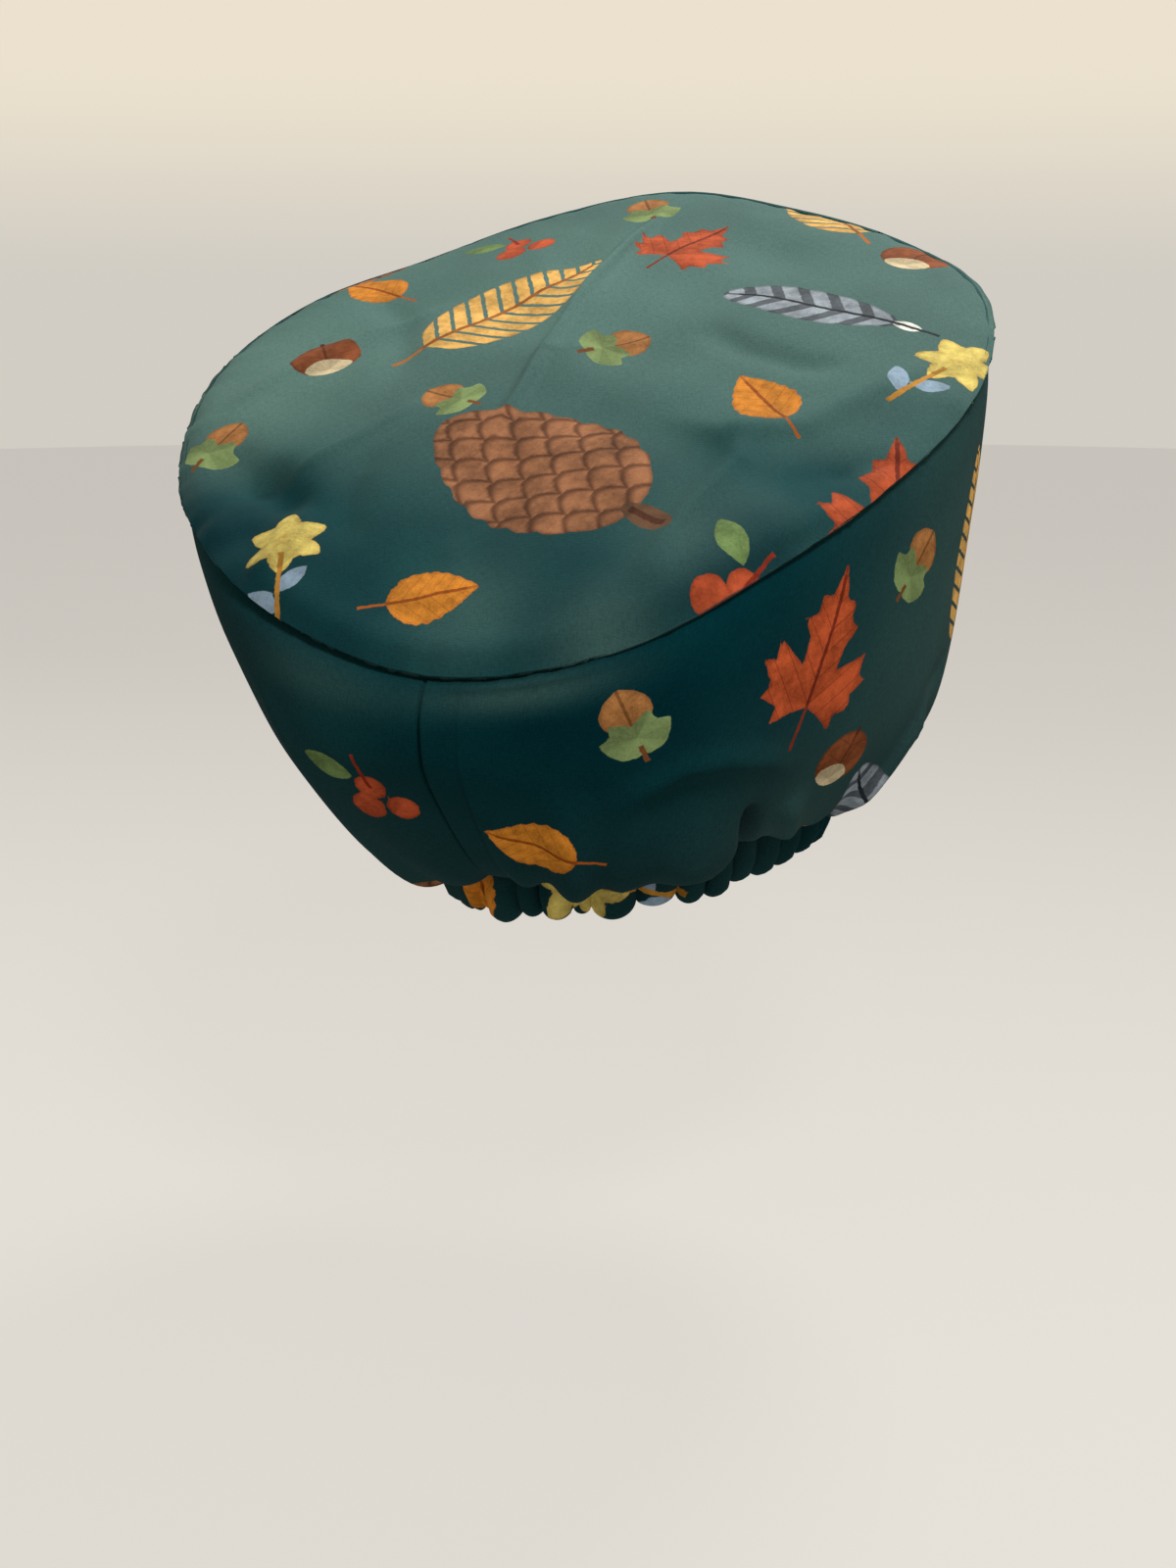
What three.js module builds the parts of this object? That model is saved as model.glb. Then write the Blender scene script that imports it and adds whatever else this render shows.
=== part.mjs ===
// Scrub cap with a large oval crown, a tall full band and a gathered casing at the nape.
// Millimetres, +Z up, front of the cap along -Y, wearer's left along +X.
// The origin is inside the crown, where the top of the head touches it.
import * as THREE from "three";

// Crown
const CROWN_LENGTH = 287;
const CROWN_WIDTH = 263;
const CROWN_TILT = 28.5; // degrees, front edge high
const CROWN_BACK_OF_SEAT = 24;
const CROWN_LEFT_OF_SEAT = 8;
const DOME_HEIGHT = 8;
const ROLL_HEIGHT = 5; // how far the edge turns down to its seam
const ROLL_POWER = 8; // higher for a shorter roll at the edge
const FLAT_POWER = 6; // higher for folds that run closer to the seam

// Band
const BAND_DROP = 145; // middle of the crown's seam down to the casing at the nape
const BACK_SEAM_TURN = 5; // degrees from the nape to the wearer's left, at the casing
const BACK_SEAM_TWIST = 3; // degrees that the seam has run round by the time it reaches the casing
const TWIST_REACH = 95; // degrees each side of the seam that the twist fades over
const BACK_SEAM_DEPTH = 1.2;
const BELLY_PLACE = 0.45; // share of the way from the seam to where the wall turns under
const WALL_TWIST = 0.5; // share of the back seam's twist that is left behind at the wall's turn
const BAG_TWIST = 0.8; // and at the bottom of the sag

// Casing and hem
const HEAD_REACH = 84; // mean distance from the head's upright axis to the casing
const CASING_HEIGHT = 22;
const CASING_ARC = 230; // degrees round the nape, from ear to ear
const LOBE_COUNT = 24;
const LOBE_DEPTH = 4.5; // how far a lobe stands out from the valleys beside it
const LOBE_HANG = 3; // how far a lobe's foot hangs below the valleys beside it
const LOBE_VARIATION = 0.28; // share of a lobe's width that its edges wander by
const LOBE_RHYTHM = 2.4; // radians of that wander from one edge to the next
const LOBE_ROUNDNESS = 0.7; // below 1 for full lobes with narrow valleys
const PUCKER_FADE = 0.16; // share of the band's height that the gathers run up into

// Cloth
const CLOTH_WALL = 1.5;
const CASING_WALL = 2.2;
const GAP = 0.3; // between pieces that are sewn together

// How finely the cloth is divided
const STEPS_PER_LOBE = 4;
const STEPS_IN_FRONT = 24;
const CROWN_STEP = 2; // the crown uses every second column of the band
const STEPS_PER_STRETCH = 3; // between two named places down the band

const CROWN_RINGS = [0.14, 0.3, 0.46, 0.6, 0.72, 0.82, 0.9, 0.96, 1];
const BAND_STEPS = 4 * STEPS_PER_STRETCH;

// Seam between crown and band. turn: degrees from the back towards the wearer's left.
// reach: share of the plain oval. lift: off the oval's plane, as a share of CROWN_WIDTH.
const CROWN_SEAM = [
  { turn: 0, reach: 1.018, lift: -0.024 },
  { turn: 22.5, reach: 1.011, lift: -0.001 },
  { turn: 45, reach: 1.003, lift: 0.014 },
  { turn: 67.5, reach: 1.014, lift: 0.01 },
  { turn: 90, reach: 1.017, lift: 0.014 },
  { turn: 112.5, reach: 0.99, lift: 0.005 },
  { turn: 135, reach: 0.976, lift: -0.018 },
  { turn: 157.5, reach: 0.995, lift: -0.014 },
  { turn: 180, reach: 0.993, lift: 0.003 },
  { turn: 202.5, reach: 0.978, lift: -0.002 },
  { turn: 225, reach: 1.016, lift: -0.002 },
  { turn: 247.5, reach: 1.06, lift: 0.011 },
  { turn: 270, reach: 1.023, lift: 0.01 },
  { turn: 292.5, reach: 0.957, lift: 0.006 },
  { turn: 315, reach: 0.954, lift: 0.004 },
  { turn: 337.5, reach: 0.995, lift: -0.015 },
];

// Dents and raised folds of the crown. back, left: middle, as shares of the oval's half sizes.
// turn: degrees that the fold's length is turned from front-back. long, wide: half lengths, as
// shares of CROWN_LENGTH. rise: share of CROWN_LENGTH, below zero for a dent.
const CROWN_FOLDS = [
  { back: 0.56, left: 0.58, turn: 55, long: 0.09, wide: 0.035, rise: -0.014 },
  { back: 0.74, left: 0.46, turn: 20, long: 0.1, wide: 0.035, rise: 0.008 },
  { back: 0.42, left: -0.8, turn: 35, long: 0.12, wide: 0.055, rise: -0.014 },
  { back: -0.26, left: 0.02, turn: 5, long: 0.3, wide: 0.03, rise: 0.007 },
  { back: 0.3, left: -0.3, turn: 62, long: 0.2, wide: 0.05, rise: -0.007 },
  { back: -0.6, left: -0.36, turn: 30, long: 0.16, wide: 0.05, rise: -0.008 },
  { back: -0.35, left: 0.62, turn: 12, long: 0.16, wide: 0.06, rise: -0.006 },
];

// Shape of the band down each direction. The run is the level way in from the seam to the
// casing, and the fall is the drop between them. wall: where the wall turns under. bag: the
// lowest part of the sag. belly: how far the wall stands out, as a share of BAND_DROP.
// reach: casing's distance from the head's axis, as a share of HEAD_REACH.
// level: casing's top line below the middle of the crown's seam, as a share of BAND_DROP.
const BAND_SHAPE = [
  {
    turn: 0, wallRun: 0.123, wallFall: 0.531, bagRun: 0.55, bagFall: 1.026,
    belly: 0.039, reach: 0.845, level: 1,
  },
  {
    turn: 24, wallRun: 0.107, wallFall: 0.563, bagRun: 0.588, bagFall: 1.084,
    belly: 0.034, reach: 0.786, level: 1.035,
  },
  {
    turn: 45, wallRun: 0.29, wallFall: 0.632, bagRun: 0.683, bagFall: 0.967,
    belly: 0.037, reach: 0.726, level: 1.045,
  },
  {
    turn: 72, wallRun: 0.386, wallFall: 0.705, bagRun: 0.777, bagFall: 0.955,
    belly: 0.026, reach: 0.714, level: 1.015,
  },
  {
    turn: 90, wallRun: 0.368, wallFall: 0.751, bagRun: 0.702, bagFall: 0.97,
    belly: 0.016, reach: 0.738, level: 0.995,
  },
  {
    turn: 108, wallRun: 0.284, wallFall: 0.8, bagRun: 0.614, bagFall: 0.988,
    belly: 0.008, reach: 0.8, level: 0.98,
  },
  {
    turn: 135, wallRun: 0.2, wallFall: 0.8, bagRun: 0.55, bagFall: 0.97,
    belly: 0.014, reach: 0.95, level: 0.76,
  },
  {
    turn: 180, wallRun: 0.1, wallFall: 0.68, bagRun: 0.5, bagFall: 0.88,
    belly: 0.02, reach: 1.1, level: 0.34,
  },
  {
    turn: 225, wallRun: 0.2, wallFall: 0.8, bagRun: 0.55, bagFall: 0.99,
    belly: 0.008, reach: 0.976, level: 0.76,
  },
  {
    turn: 252, wallRun: 0.237, wallFall: 0.82, bagRun: 0.662, bagFall: 1.009,
    belly: 0.014, reach: 0.833, level: 0.925,
  },
  {
    turn: 275, wallRun: 0.235, wallFall: 0.746, bagRun: 0.614, bagFall: 1.032,
    belly: 0.02, reach: 0.786, level: 0.93,
  },
  {
    turn: 300, wallRun: 0.208, wallFall: 0.741, bagRun: 0.622, bagFall: 1.02,
    belly: 0.028, reach: 0.762, level: 0.945,
  },
  {
    turn: 330, wallRun: 0.165, wallFall: 0.624, bagRun: 0.518, bagFall: 1.066,
    belly: 0.029, reach: 0.798, level: 0.975,
  },
  {
    turn: 345, wallRun: 0.133, wallFall: 0.554, bagRun: 0.462, bagFall: 1.096,
    belly: 0.031, reach: 0.833, level: 0.99,
  },
];

// Folds of the band. turn, share: middle of the fold, the share from the seam to the casing.
// wide: degrees. tall: share of the band's height. rise: outward, as a share of BAND_DROP.
const BAND_FOLDS = [
  { turn: 312, share: 0.86, wide: 6, tall: 0.09, rise: -0.045 },
  { turn: 296, share: 0.74, wide: 9, tall: 0.12, rise: 0.02 },
  { turn: 262, share: 0.72, wide: 7, tall: 0.1, rise: -0.02 },
  { turn: 28, share: 0.84, wide: 7, tall: 0.1, rise: -0.03 },
  { turn: 60, share: 0.55, wide: 10, tall: 0.2, rise: -0.014 },
  { turn: 84, share: 0.6, wide: 9, tall: 0.22, rise: 0.014 },
  { turn: 345, share: 0.3, wide: 12, tall: 0.14, rise: -0.012 },
  { turn: 318, share: 0.45, wide: 14, tall: 0.18, rise: 0.012 },
  { turn: 150, share: 0.5, wide: 10, tall: 0.25, rise: -0.014 },
  { turn: 205, share: 0.45, wide: 12, tall: 0.25, rise: -0.014 },
  { turn: 120, share: 0.66, wide: 8, tall: 0.14, rise: 0.014 },
];

// Casing from its top line down. down: share of CASING_HEIGHT. bulge: share of the casing's
// height outward. lobe: share of LOBE_DEPTH.
const CASING_SHAPE = [
  { down: 0, bulge: 0, lobe: 0.55 },
  { down: 0.25, bulge: 0.06, lobe: 0.8 },
  { down: 0.45, bulge: 0.13, lobe: 1 },
  { down: 0.7, bulge: 0.12, lobe: 0.95 },
  { down: 0.9, bulge: 0.06, lobe: 0.8 },
  { down: 1, bulge: -0.03, lobe: 0.55 },
];

// Rows of the whole face, counted from the crown's middle
const SEAM_ROW = CROWN_RINGS.length - 1;
const CASING_ROW = SEAM_ROW + BAND_STEPS;
const FOOT_ROW = CASING_ROW + CASING_SHAPE.length - 1;

const radians = THREE.MathUtils.degToRad;
const FULL_TURN = 360;
const tilt = radians(CROWN_TILT);
const ovalBack = new THREE.Vector3(0, Math.cos(tilt), -Math.sin(tilt));
const ovalLeft = new THREE.Vector3(1, 0, 0);
const ovalUp = new THREE.Vector3(0, Math.sin(tilt), Math.cos(tilt));

// A closed smooth line through one column of a table of turns.
function around(table, column, turn) {
  const at = ((turn % FULL_TURN) + FULL_TURN) % FULL_TURN;
  const count = table.length;
  let k = table.findLastIndex((row) => row.turn <= at);
  if (k < 0) k = count - 1;
  const row = (i) => {
    const wrapped = ((i % count) + count) % count;
    return { x: table[wrapped].turn + FULL_TURN * Math.floor(i / count), y: table[wrapped][column] };
  };
  const [before, from, to, after] = [row(k - 1), row(k), row(k + 1), row(k + 2)];
  const width = to.x - from.x;
  const share = (at - from.x) / width;
  const slopeFrom = ((to.y - before.y) / (to.x - before.x)) * width;
  const slopeTo = ((after.y - from.y) / (after.x - from.x)) * width;
  const squared = share * share;
  const cubed = squared * share;
  return (
    (2 * cubed - 3 * squared + 1) * from.y +
    (cubed - 2 * squared + share) * slopeFrom +
    (3 * squared - 2 * cubed) * to.y +
    (cubed - squared) * slopeTo
  );
}

// Degrees from one turn to another, the short way round.
function turnBetween(turn, middle) {
  return THREE.MathUtils.euclideanModulo(turn - middle + FULL_TURN / 2, FULL_TURN) - FULL_TURN / 2;
}

const bell = (distance, width) => Math.exp(-((distance / width) ** 2));

// Height of the crown's outer face over the seam's plane, at shares of the half sizes.
function crownHeight(back, left) {
  const out = Math.min(Math.hypot(back, left), 1);
  const dome = DOME_HEIGHT * (1 - out ** 2) + ROLL_HEIGHT * (1 - out ** ROLL_POWER);
  const flat = 1 - out ** FLAT_POWER; // folds die out at the seam
  let folds = 0;
  for (const fold of CROWN_FOLDS) {
    const alongBack = ((back - fold.back) * CROWN_LENGTH) / 2;
    const alongLeft = ((left - fold.left) * CROWN_WIDTH) / 2;
    const c = Math.cos(radians(fold.turn));
    const s = Math.sin(radians(fold.turn));
    const lengthways = bell(alongBack * c - alongLeft * s, fold.long * CROWN_LENGTH);
    const crossways = bell(alongBack * s + alongLeft * c, fold.wide * CROWN_LENGTH);
    folds += fold.rise * CROWN_LENGTH * lengthways * crossways;
  }
  return dome + folds * flat;
}

// The seam's middle lies so that the inner face of the crown passes through the origin.
const seatBack = -CROWN_BACK_OF_SEAT / Math.cos(tilt) / (CROWN_LENGTH / 2);
const seatLeft = -CROWN_LEFT_OF_SEAT / (CROWN_WIDTH / 2);
const seatHeight = crownHeight(seatBack, seatLeft) - CLOTH_WALL;
const crownMiddle = new THREE.Vector3(
  CROWN_LEFT_OF_SEAT,
  CROWN_BACK_OF_SEAT,
  -CROWN_BACK_OF_SEAT * Math.tan(tilt) - seatHeight / Math.cos(tilt),
);

// A point of the crown's outer face: turn in degrees, out from 0 in the middle to 1 at the seam.
function crownPoint(turn, out) {
  const reach = around(CROWN_SEAM, "reach", turn);
  const lift = around(CROWN_SEAM, "lift", turn) * CROWN_WIDTH;
  const back = out * Math.cos(radians(turn));
  const left = out * Math.sin(radians(turn));
  return crownMiddle
    .clone()
    .addScaledVector(ovalBack, (back * reach * CROWN_LENGTH) / 2)
    .addScaledVector(ovalLeft, (left * reach * CROWN_WIDTH) / 2)
    .addScaledVector(ovalUp, crownHeight(back, left) + lift * out ** 2);
}

// Edges of the lobes, in degrees: they wander a little, so no two lobes are quite alike.
const lobeEdges = Array.from({ length: LOBE_COUNT + 1 }, (_, k) => {
  const inside = k > 0 && k < LOBE_COUNT;
  const wander = inside ? LOBE_VARIATION * Math.sin(LOBE_RHYTHM * k) : 0;
  return (CASING_ARC * (k + wander)) / LOBE_COUNT - CASING_ARC / 2;
});

// One column of points for each step round the casing. lobe: how far the gathers stand out.
function makeColumns() {
  const columns = [];
  for (let k = 0; k < LOBE_COUNT; k += 1) {
    for (let step = 0; step < STEPS_PER_LOBE; step += 1) {
      const share = step / STEPS_PER_LOBE;
      const turn = lobeEdges[k] + (lobeEdges[k + 1] - lobeEdges[k]) * share;
      columns.push({ turn, lobe: Math.sin(Math.PI * share) ** LOBE_ROUNDNESS });
    }
  }
  for (let step = 0; step < STEPS_IN_FRONT; step += 1) {
    const turn = CASING_ARC / 2 + ((FULL_TURN - CASING_ARC) * step) / STEPS_IN_FRONT;
    columns.push({ turn, lobe: 0 });
  }
  // The column nearest to the back seam moves onto it.
  const nearest = columns.reduce((a, b) =>
    Math.abs(b.turn - BACK_SEAM_TURN) < Math.abs(a.turn - BACK_SEAM_TURN) ? b : a,
  );
  nearest.turn = BACK_SEAM_TURN;
  nearest.seam = true;
  return columns;
}

// The cloth's columns run round with the back seam from the crown to the casing.
function twisted(turn, share) {
  const off = Math.min(Math.abs(turnBetween(turn, BACK_SEAM_TURN)) / TWIST_REACH, 1);
  return turn - BACK_SEAM_TWIST * (1 - share) * Math.cos((off * Math.PI) / 2) ** 2;
}

const levelOut = (turn) => new THREE.Vector3(Math.sin(radians(turn)), Math.cos(radians(turn)), 0);

// Top line of the casing, without its gathers.
function casingTop(turn) {
  const reach = around(BAND_SHAPE, "reach", turn) * HEAD_REACH;
  const point = levelOut(turn).multiplyScalar(reach);
  point.z = crownMiddle.z - around(BAND_SHAPE, "level", turn) * BAND_DROP;
  return point;
}

// The band's outer line at one column: points from the seam down to the casing.
function bandLine(column) {
  const seam = (share) => crownPoint(twisted(column.turn, share), 1);
  const foot = casingTop(column.turn);
  const top = seam(0);
  const place = (share, run, fall) => {
    const from = seam(share);
    return new THREE.Vector3(
      THREE.MathUtils.lerp(from.x, foot.x, run),
      THREE.MathUtils.lerp(from.y, foot.y, run),
      THREE.MathUtils.lerp(from.z, foot.z, fall),
    );
  };
  const shape = (name) => around(BAND_SHAPE, name, column.turn);
  const outward = levelOut(column.turn);
  const wall = place(WALL_TWIST, shape("wallRun"), shape("wallFall"));
  const bag = place(BAG_TWIST, shape("bagRun"), shape("bagFall"));
  const belly = top
    .clone()
    .lerp(wall, BELLY_PLACE)
    .addScaledVector(outward, shape("belly") * BAND_DROP);
  const curve = new THREE.CatmullRomCurve3([top, belly, wall, bag, foot], false, "catmullrom", 0.5);
  return curve.getPoints(BAND_STEPS);
}

// The casing's outer line at one column, below its top line.
function casingLine(column) {
  const top = casingTop(column.turn);
  const outward = levelOut(column.turn);
  return CASING_SHAPE.slice(1).map((row) => {
    const point = top.clone().addScaledVector(outward, row.bulge * CASING_HEIGHT);
    point.z -= row.down * (CASING_HEIGHT + column.lobe * LOBE_HANG);
    return point;
  });
}

// Smooth outer face of the whole cap, before its folds and gathers: smooth[column][row], from
// the crown's middle to the casing's foot.
const columns = makeColumns();
const middlePoint = crownPoint(0, 0);
const smooth = columns.map((column) => [
  ...CROWN_RINGS.map((out) => crownPoint(twisted(column.turn, 0), out)),
  ...bandLine(column).slice(1),
  ...casingLine(column),
]);

// Outward direction of a face at a column and row.
function outwardAt(grid, j, i) {
  const count = grid.length;
  const left = grid[(j + 1) % count][i];
  const right = grid[(j + count - 1) % count][i];
  const above = i > 0 ? grid[j][i - 1] : middlePoint;
  const below = grid[j][Math.min(i + 1, FOOT_ROW)];
  const acrossway = new THREE.Vector3().subVectors(left, right);
  const downway = new THREE.Vector3().subVectors(below, above);
  return new THREE.Vector3().crossVectors(downway, acrossway).normalize();
}

// How far folds, the back seam and the gathers move the face out at a column and row.
function reliefAt(column, i) {
  if (i <= SEAM_ROW) return 0;
  if (i > CASING_ROW) return CASING_SHAPE[i - CASING_ROW].lobe * column.lobe * LOBE_DEPTH;
  const share = (i - SEAM_ROW) / BAND_STEPS;
  const edges = Math.sin(Math.PI * share); // folds die out at both seams
  let rise = column.seam ? -BACK_SEAM_DEPTH * edges : 0;
  for (const fold of BAND_FOLDS) {
    const sideways = bell(turnBetween(column.turn, fold.turn), fold.wide);
    rise += fold.rise * BAND_DROP * sideways * bell(share - fold.share, fold.tall) * edges;
  }
  const pucker = THREE.MathUtils.smoothstep(share, 1 - PUCKER_FADE, 1) * CASING_SHAPE[0].lobe;
  return rise + column.lobe * pucker * LOBE_DEPTH;
}

const moved = (grid, amount) =>
  grid.map((line, j) =>
    line.map((point, i) => point.clone().addScaledVector(outwardAt(grid, j, i), amount(j, i))),
  );

// Outer face with its folds and gathers, and the inner face, one wall inside it.
const faces = moved(smooth, (j, i) => reliefAt(columns[j], i));
const linings = moved(faces, (_, i) => (i > CASING_ROW ? -CASING_WALL : -CLOTH_WALL));

// A line of points with its ends drawn back by half of the gap to the next piece.
function drawnBack(line, atStart, atEnd) {
  const out = line.map((point) => point.clone());
  const pull = (end, next) => {
    const way = new THREE.Vector3().subVectors(line[next], line[end]).normalize();
    out[end].addScaledVector(way, GAP / 2);
  };
  if (atStart) pull(0, 1);
  if (atEnd) pull(line.length - 1, line.length - 2);
  return out;
}

// The rows of the chosen columns between two rows, as a grid of points.
function cut(grid, chosen, firstRow, lastRow, atTop, atFoot) {
  return chosen.map((j) => drawnBack(grid[j].slice(firstRow, lastRow + 1), atTop, atFoot));
}

// One closed wall between an outer and an inner grid of points. ring: the columns close on
// themselves. poles: the two middle points, where the first row closes on a point.
function wallGeometry(outer, inner, ring, poles) {
  const across = outer.length;
  const down = outer[0].length;
  const points = [...outer.flat(), ...inner.flat()];
  const index = [];
  const out = (j, i) => (j % across) * down + i;
  const lining = (j, i) => across * down + out(j, i);
  const quad = (a, b, c, d) => index.push(a, b, c, a, c, d);
  const spans = ring ? across : across - 1;
  for (let j = 0; j < spans; j += 1) {
    for (let i = 0; i + 1 < down; i += 1) {
      quad(out(j, i), out(j, i + 1), out(j + 1, i + 1), out(j + 1, i));
      quad(lining(j, i), lining(j + 1, i), lining(j + 1, i + 1), lining(j, i + 1));
    }
    const foot = down - 1;
    quad(out(j, foot), lining(j, foot), lining(j + 1, foot), out(j + 1, foot));
    if (poles) {
      index.push(points.length, out(j, 0), out(j + 1, 0));
      index.push(points.length + 1, lining(j + 1, 0), lining(j, 0));
    } else {
      quad(out(j, 0), out(j + 1, 0), lining(j + 1, 0), lining(j, 0));
    }
  }
  if (poles) points.push(...poles);
  if (!ring) {
    const last = across - 1;
    for (let i = 0; i + 1 < down; i += 1) {
      quad(out(0, i), lining(0, i), lining(0, i + 1), out(0, i + 1));
      quad(out(last, i), out(last, i + 1), lining(last, i + 1), lining(last, i));
    }
  }
  const geometry = new THREE.BufferGeometry().setFromPoints(points);
  geometry.setIndex(index);
  geometry.computeVertexNormals();
  return geometry;
}

const everyColumn = columns.map((_, j) => j);
const crownColumns = everyColumn.filter((j) => j % CROWN_STEP === 0);
const lobeColumns = LOBE_COUNT * STEPS_PER_LOBE;
const napeColumns = everyColumn.filter((j) => j <= lobeColumns);
const frontColumns = [...everyColumn.filter((j) => j >= lobeColumns), 0];

function crownPanel() {
  const poles = [middlePoint, middlePoint.clone().addScaledVector(ovalUp, -CLOTH_WALL)];
  const outer = cut(faces, crownColumns, 0, SEAM_ROW, false, true);
  const inner = cut(linings, crownColumns, 0, SEAM_ROW, false, true);
  return wallGeometry(outer, inner, true, poles);
}

function sideBand() {
  const outer = cut(faces, everyColumn, SEAM_ROW, CASING_ROW, true, true);
  const inner = cut(linings, everyColumn, SEAM_ROW, CASING_ROW, true, true);
  return wallGeometry(outer, inner, true, null);
}

// A stretch of the casing or hem, clear of the piece that it meets at each end.
function rimStretch(chosen) {
  const clearEnds = (grid) => {
    const rows = cut(grid, chosen, CASING_ROW, FOOT_ROW, true, false);
    const last = rows.length - 1;
    const shifted = (end, next) =>
      rows[end].map((point, i) => {
        const way = new THREE.Vector3().subVectors(rows[next][i], point).normalize();
        return point.clone().addScaledVector(way, GAP / 2);
      });
    const first = shifted(0, 1);
    const final = shifted(last, last - 1);
    return [first, ...rows.slice(1, last), final];
  };
  return wallGeometry(clearEnds(faces), clearEnds(linings), false, null);
}

function cloth(color) {
  return new THREE.MeshStandardMaterial({ color, roughness: 0.82, metalness: 0 });
}

function piece(name, geometry, color) {
  const mesh = new THREE.Mesh(geometry, cloth(color));
  mesh.name = name;
  return mesh;
}

const group = new THREE.Group();
group.name = "scrub_cap";
group.add(piece("crown_panel", crownPanel(), 0x2f5850));
group.add(piece("side_band", sideBand(), 0x1f4642));
group.add(piece("back_casing", rimStretch(napeColumns), 0x1a3c3a));
group.add(piece("front_hem", rimStretch(frontColumns), 0x1d4340));

export default group;
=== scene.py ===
"""Scrub cap in printed cotton: oval crown, tall full band, gathered casing at the nape, plain front hem."""
import math

import bpy
import numpy as np
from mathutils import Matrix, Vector


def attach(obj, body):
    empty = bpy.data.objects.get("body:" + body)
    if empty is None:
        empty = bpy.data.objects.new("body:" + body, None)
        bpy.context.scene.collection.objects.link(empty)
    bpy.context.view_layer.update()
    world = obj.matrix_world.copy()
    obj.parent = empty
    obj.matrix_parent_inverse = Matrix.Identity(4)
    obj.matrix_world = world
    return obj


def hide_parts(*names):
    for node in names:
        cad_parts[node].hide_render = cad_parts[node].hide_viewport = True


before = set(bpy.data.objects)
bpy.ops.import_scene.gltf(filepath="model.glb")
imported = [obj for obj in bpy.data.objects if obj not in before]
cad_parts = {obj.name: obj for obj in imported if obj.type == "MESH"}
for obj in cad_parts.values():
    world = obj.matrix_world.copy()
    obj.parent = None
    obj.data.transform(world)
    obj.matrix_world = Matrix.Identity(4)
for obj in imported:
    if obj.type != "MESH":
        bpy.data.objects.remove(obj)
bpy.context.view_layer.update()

# Sizes in millimetres. +Z is up, the face looks along -Y, the wearer's left is +X.
MM = 0.001
FULL_TURN = 360.0
LEAST_LENGTH = 1e-6

# Crown
CROWN_LENGTH = 287.0
CROWN_WIDTH = 263.0
CROWN_TILT = math.radians(28.5)
CROWN_BACK_OF_SEAT = 24.0
CROWN_LEFT_OF_SEAT = 8.0
DOME_HEIGHT = 8.0
ROLL_HEIGHT = 5.0
ROLL_POWER = 8
FLAT_POWER = 6
CAD_WALL = 1.5

# Band
BAND_DROP = 145.0
BACK_SEAM_TURN = 5.0
BACK_SEAM_TWIST = 3.0
TWIST_REACH = 95.0
BELLY_PLACE = 0.45
WALL_TWIST = 0.5
BAG_TWIST = 0.8
ARC_PER_DEGREE = 2.2  # millimetres of band for one degree of turn
BAND_HEIGHT = 165.0  # mean height of the band's cloth

# Casing and hem
HEAD_REACH = 84.0
CASING_HEIGHT = 22.0
CASING_ARC = 230.0
LOBE_DEPTH = 6.0
LOBE_HANG = 2.2
LOBE_POWER = 0.62  # roundness of a lobe
LOBE_HANG_UNEVEN = 0.5  # share by which a lobe hangs longer or shorter than the rest
LOBE_HANG_STEP = 1.9  # and how unlike its neighbour it hangs

# Cloth
CLOTH_THICK = 0.6
HEM_THICK = 2.0
SEAM_TUCK = 1.2  # how far the band starts inside the crown's edge
TUCKED_MORE = [(2.2, 345.0, 80.0), (1.6, 40.0, 26.0)]  # and how much more, at which turn and reach
TUCK_TALL = 8.0
EDGE_DROP = 0.5  # how far the crown's edge rolls down
EDGE_DROP_REACH = 2.5
CROWN_PUCKER_REACH = 8.0
BAND_PUCKER = 0.1  # height of the band's puckers
BAND_PUCKER_REACH = 9.0
FOLD_END = 0.3  # share of a fine fold over which it dies out
FOLDS_POWER = 12
SLACK_POWER = 4
SLACK_SLOPE = 0.4
CROSS_SLACK_SLOPE = -0.3
TURNED_IN = 2.4  # how far each edge turns in at the seam

# The crown's cloth swells beside its seam: rise, distance from the seam and width.
EDGE_SWELL = (1.3, 7.0, 5.0)
SWELL_EVEN = 0.35  # share of the swell that goes all round
SWELL_TURN = 350.0
SWELL_REACH = 60.0
ROLL_FORMS = [(3.2, 15.0, 9.0), (-1.12, 2.0, 4.0)]  # and rolls over it at the back right
ROLL_TURN = 325.0
ROLL_REACH = 24.0
ROLL_FROM_TO = (0.2, 0.8)

# The band's cloth swells below the crown's edge at the back.
LIT_SWELL = (2.2, 7.0, 4.0)
LIT_TURN = 352.0
LIT_REACH = 15.0
LIT_PUCKER = 0.6

# Back seam: its left side laps over its right one.
BACK_GROOVE = 2.0
BACK_GROOVE_WIDE = 0.5
OVER_SEAM = 0.9
OVER_SEAM_REACH = 6
UNDER_SEAM = 0.5
UNDER_SEAM_REACH = 5
SEAM_END = 0.15

# Where the gathers run up into the band, and where the cloth is drawn in, as shares of its height
GATHERS_FROM_TO = (0.84, 1)
DRAWN_FROM_TO = (0.45, 0.95)
DRAWN_END = (1, 0.97)
SLACK_LEAN = 30.0
CASING_ARC_PER_DEGREE = 1.4
CRUMPLE_LEAN = 9.0
CRUMPLE_END = 1.2
HEM_CRUMPLE = 0.3  # share of the casing's crumple on the hem

SEAM_GAP = 0.12  # between two pieces that are sewn together

# How finely the cloth is divided
SEAM_FINE = 2.5
SEAM_FINE_STEP = 0.25
COARSE_COLUMNS = 548
CROWN_RINGS = np.concatenate([np.linspace(0.03, 0.955, 63), 1 - np.linspace(0.045**0.5, 0, 14)[1:] ** 2])
BAND_SHARES = np.concatenate(
    [np.linspace(0, 0.035**0.5, 13) ** 2, np.linspace(0.035, 0.965, 61)[1:], np.linspace(0.965, 1, 8)[1:]]
)
CASING_ROWS = 20

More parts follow.
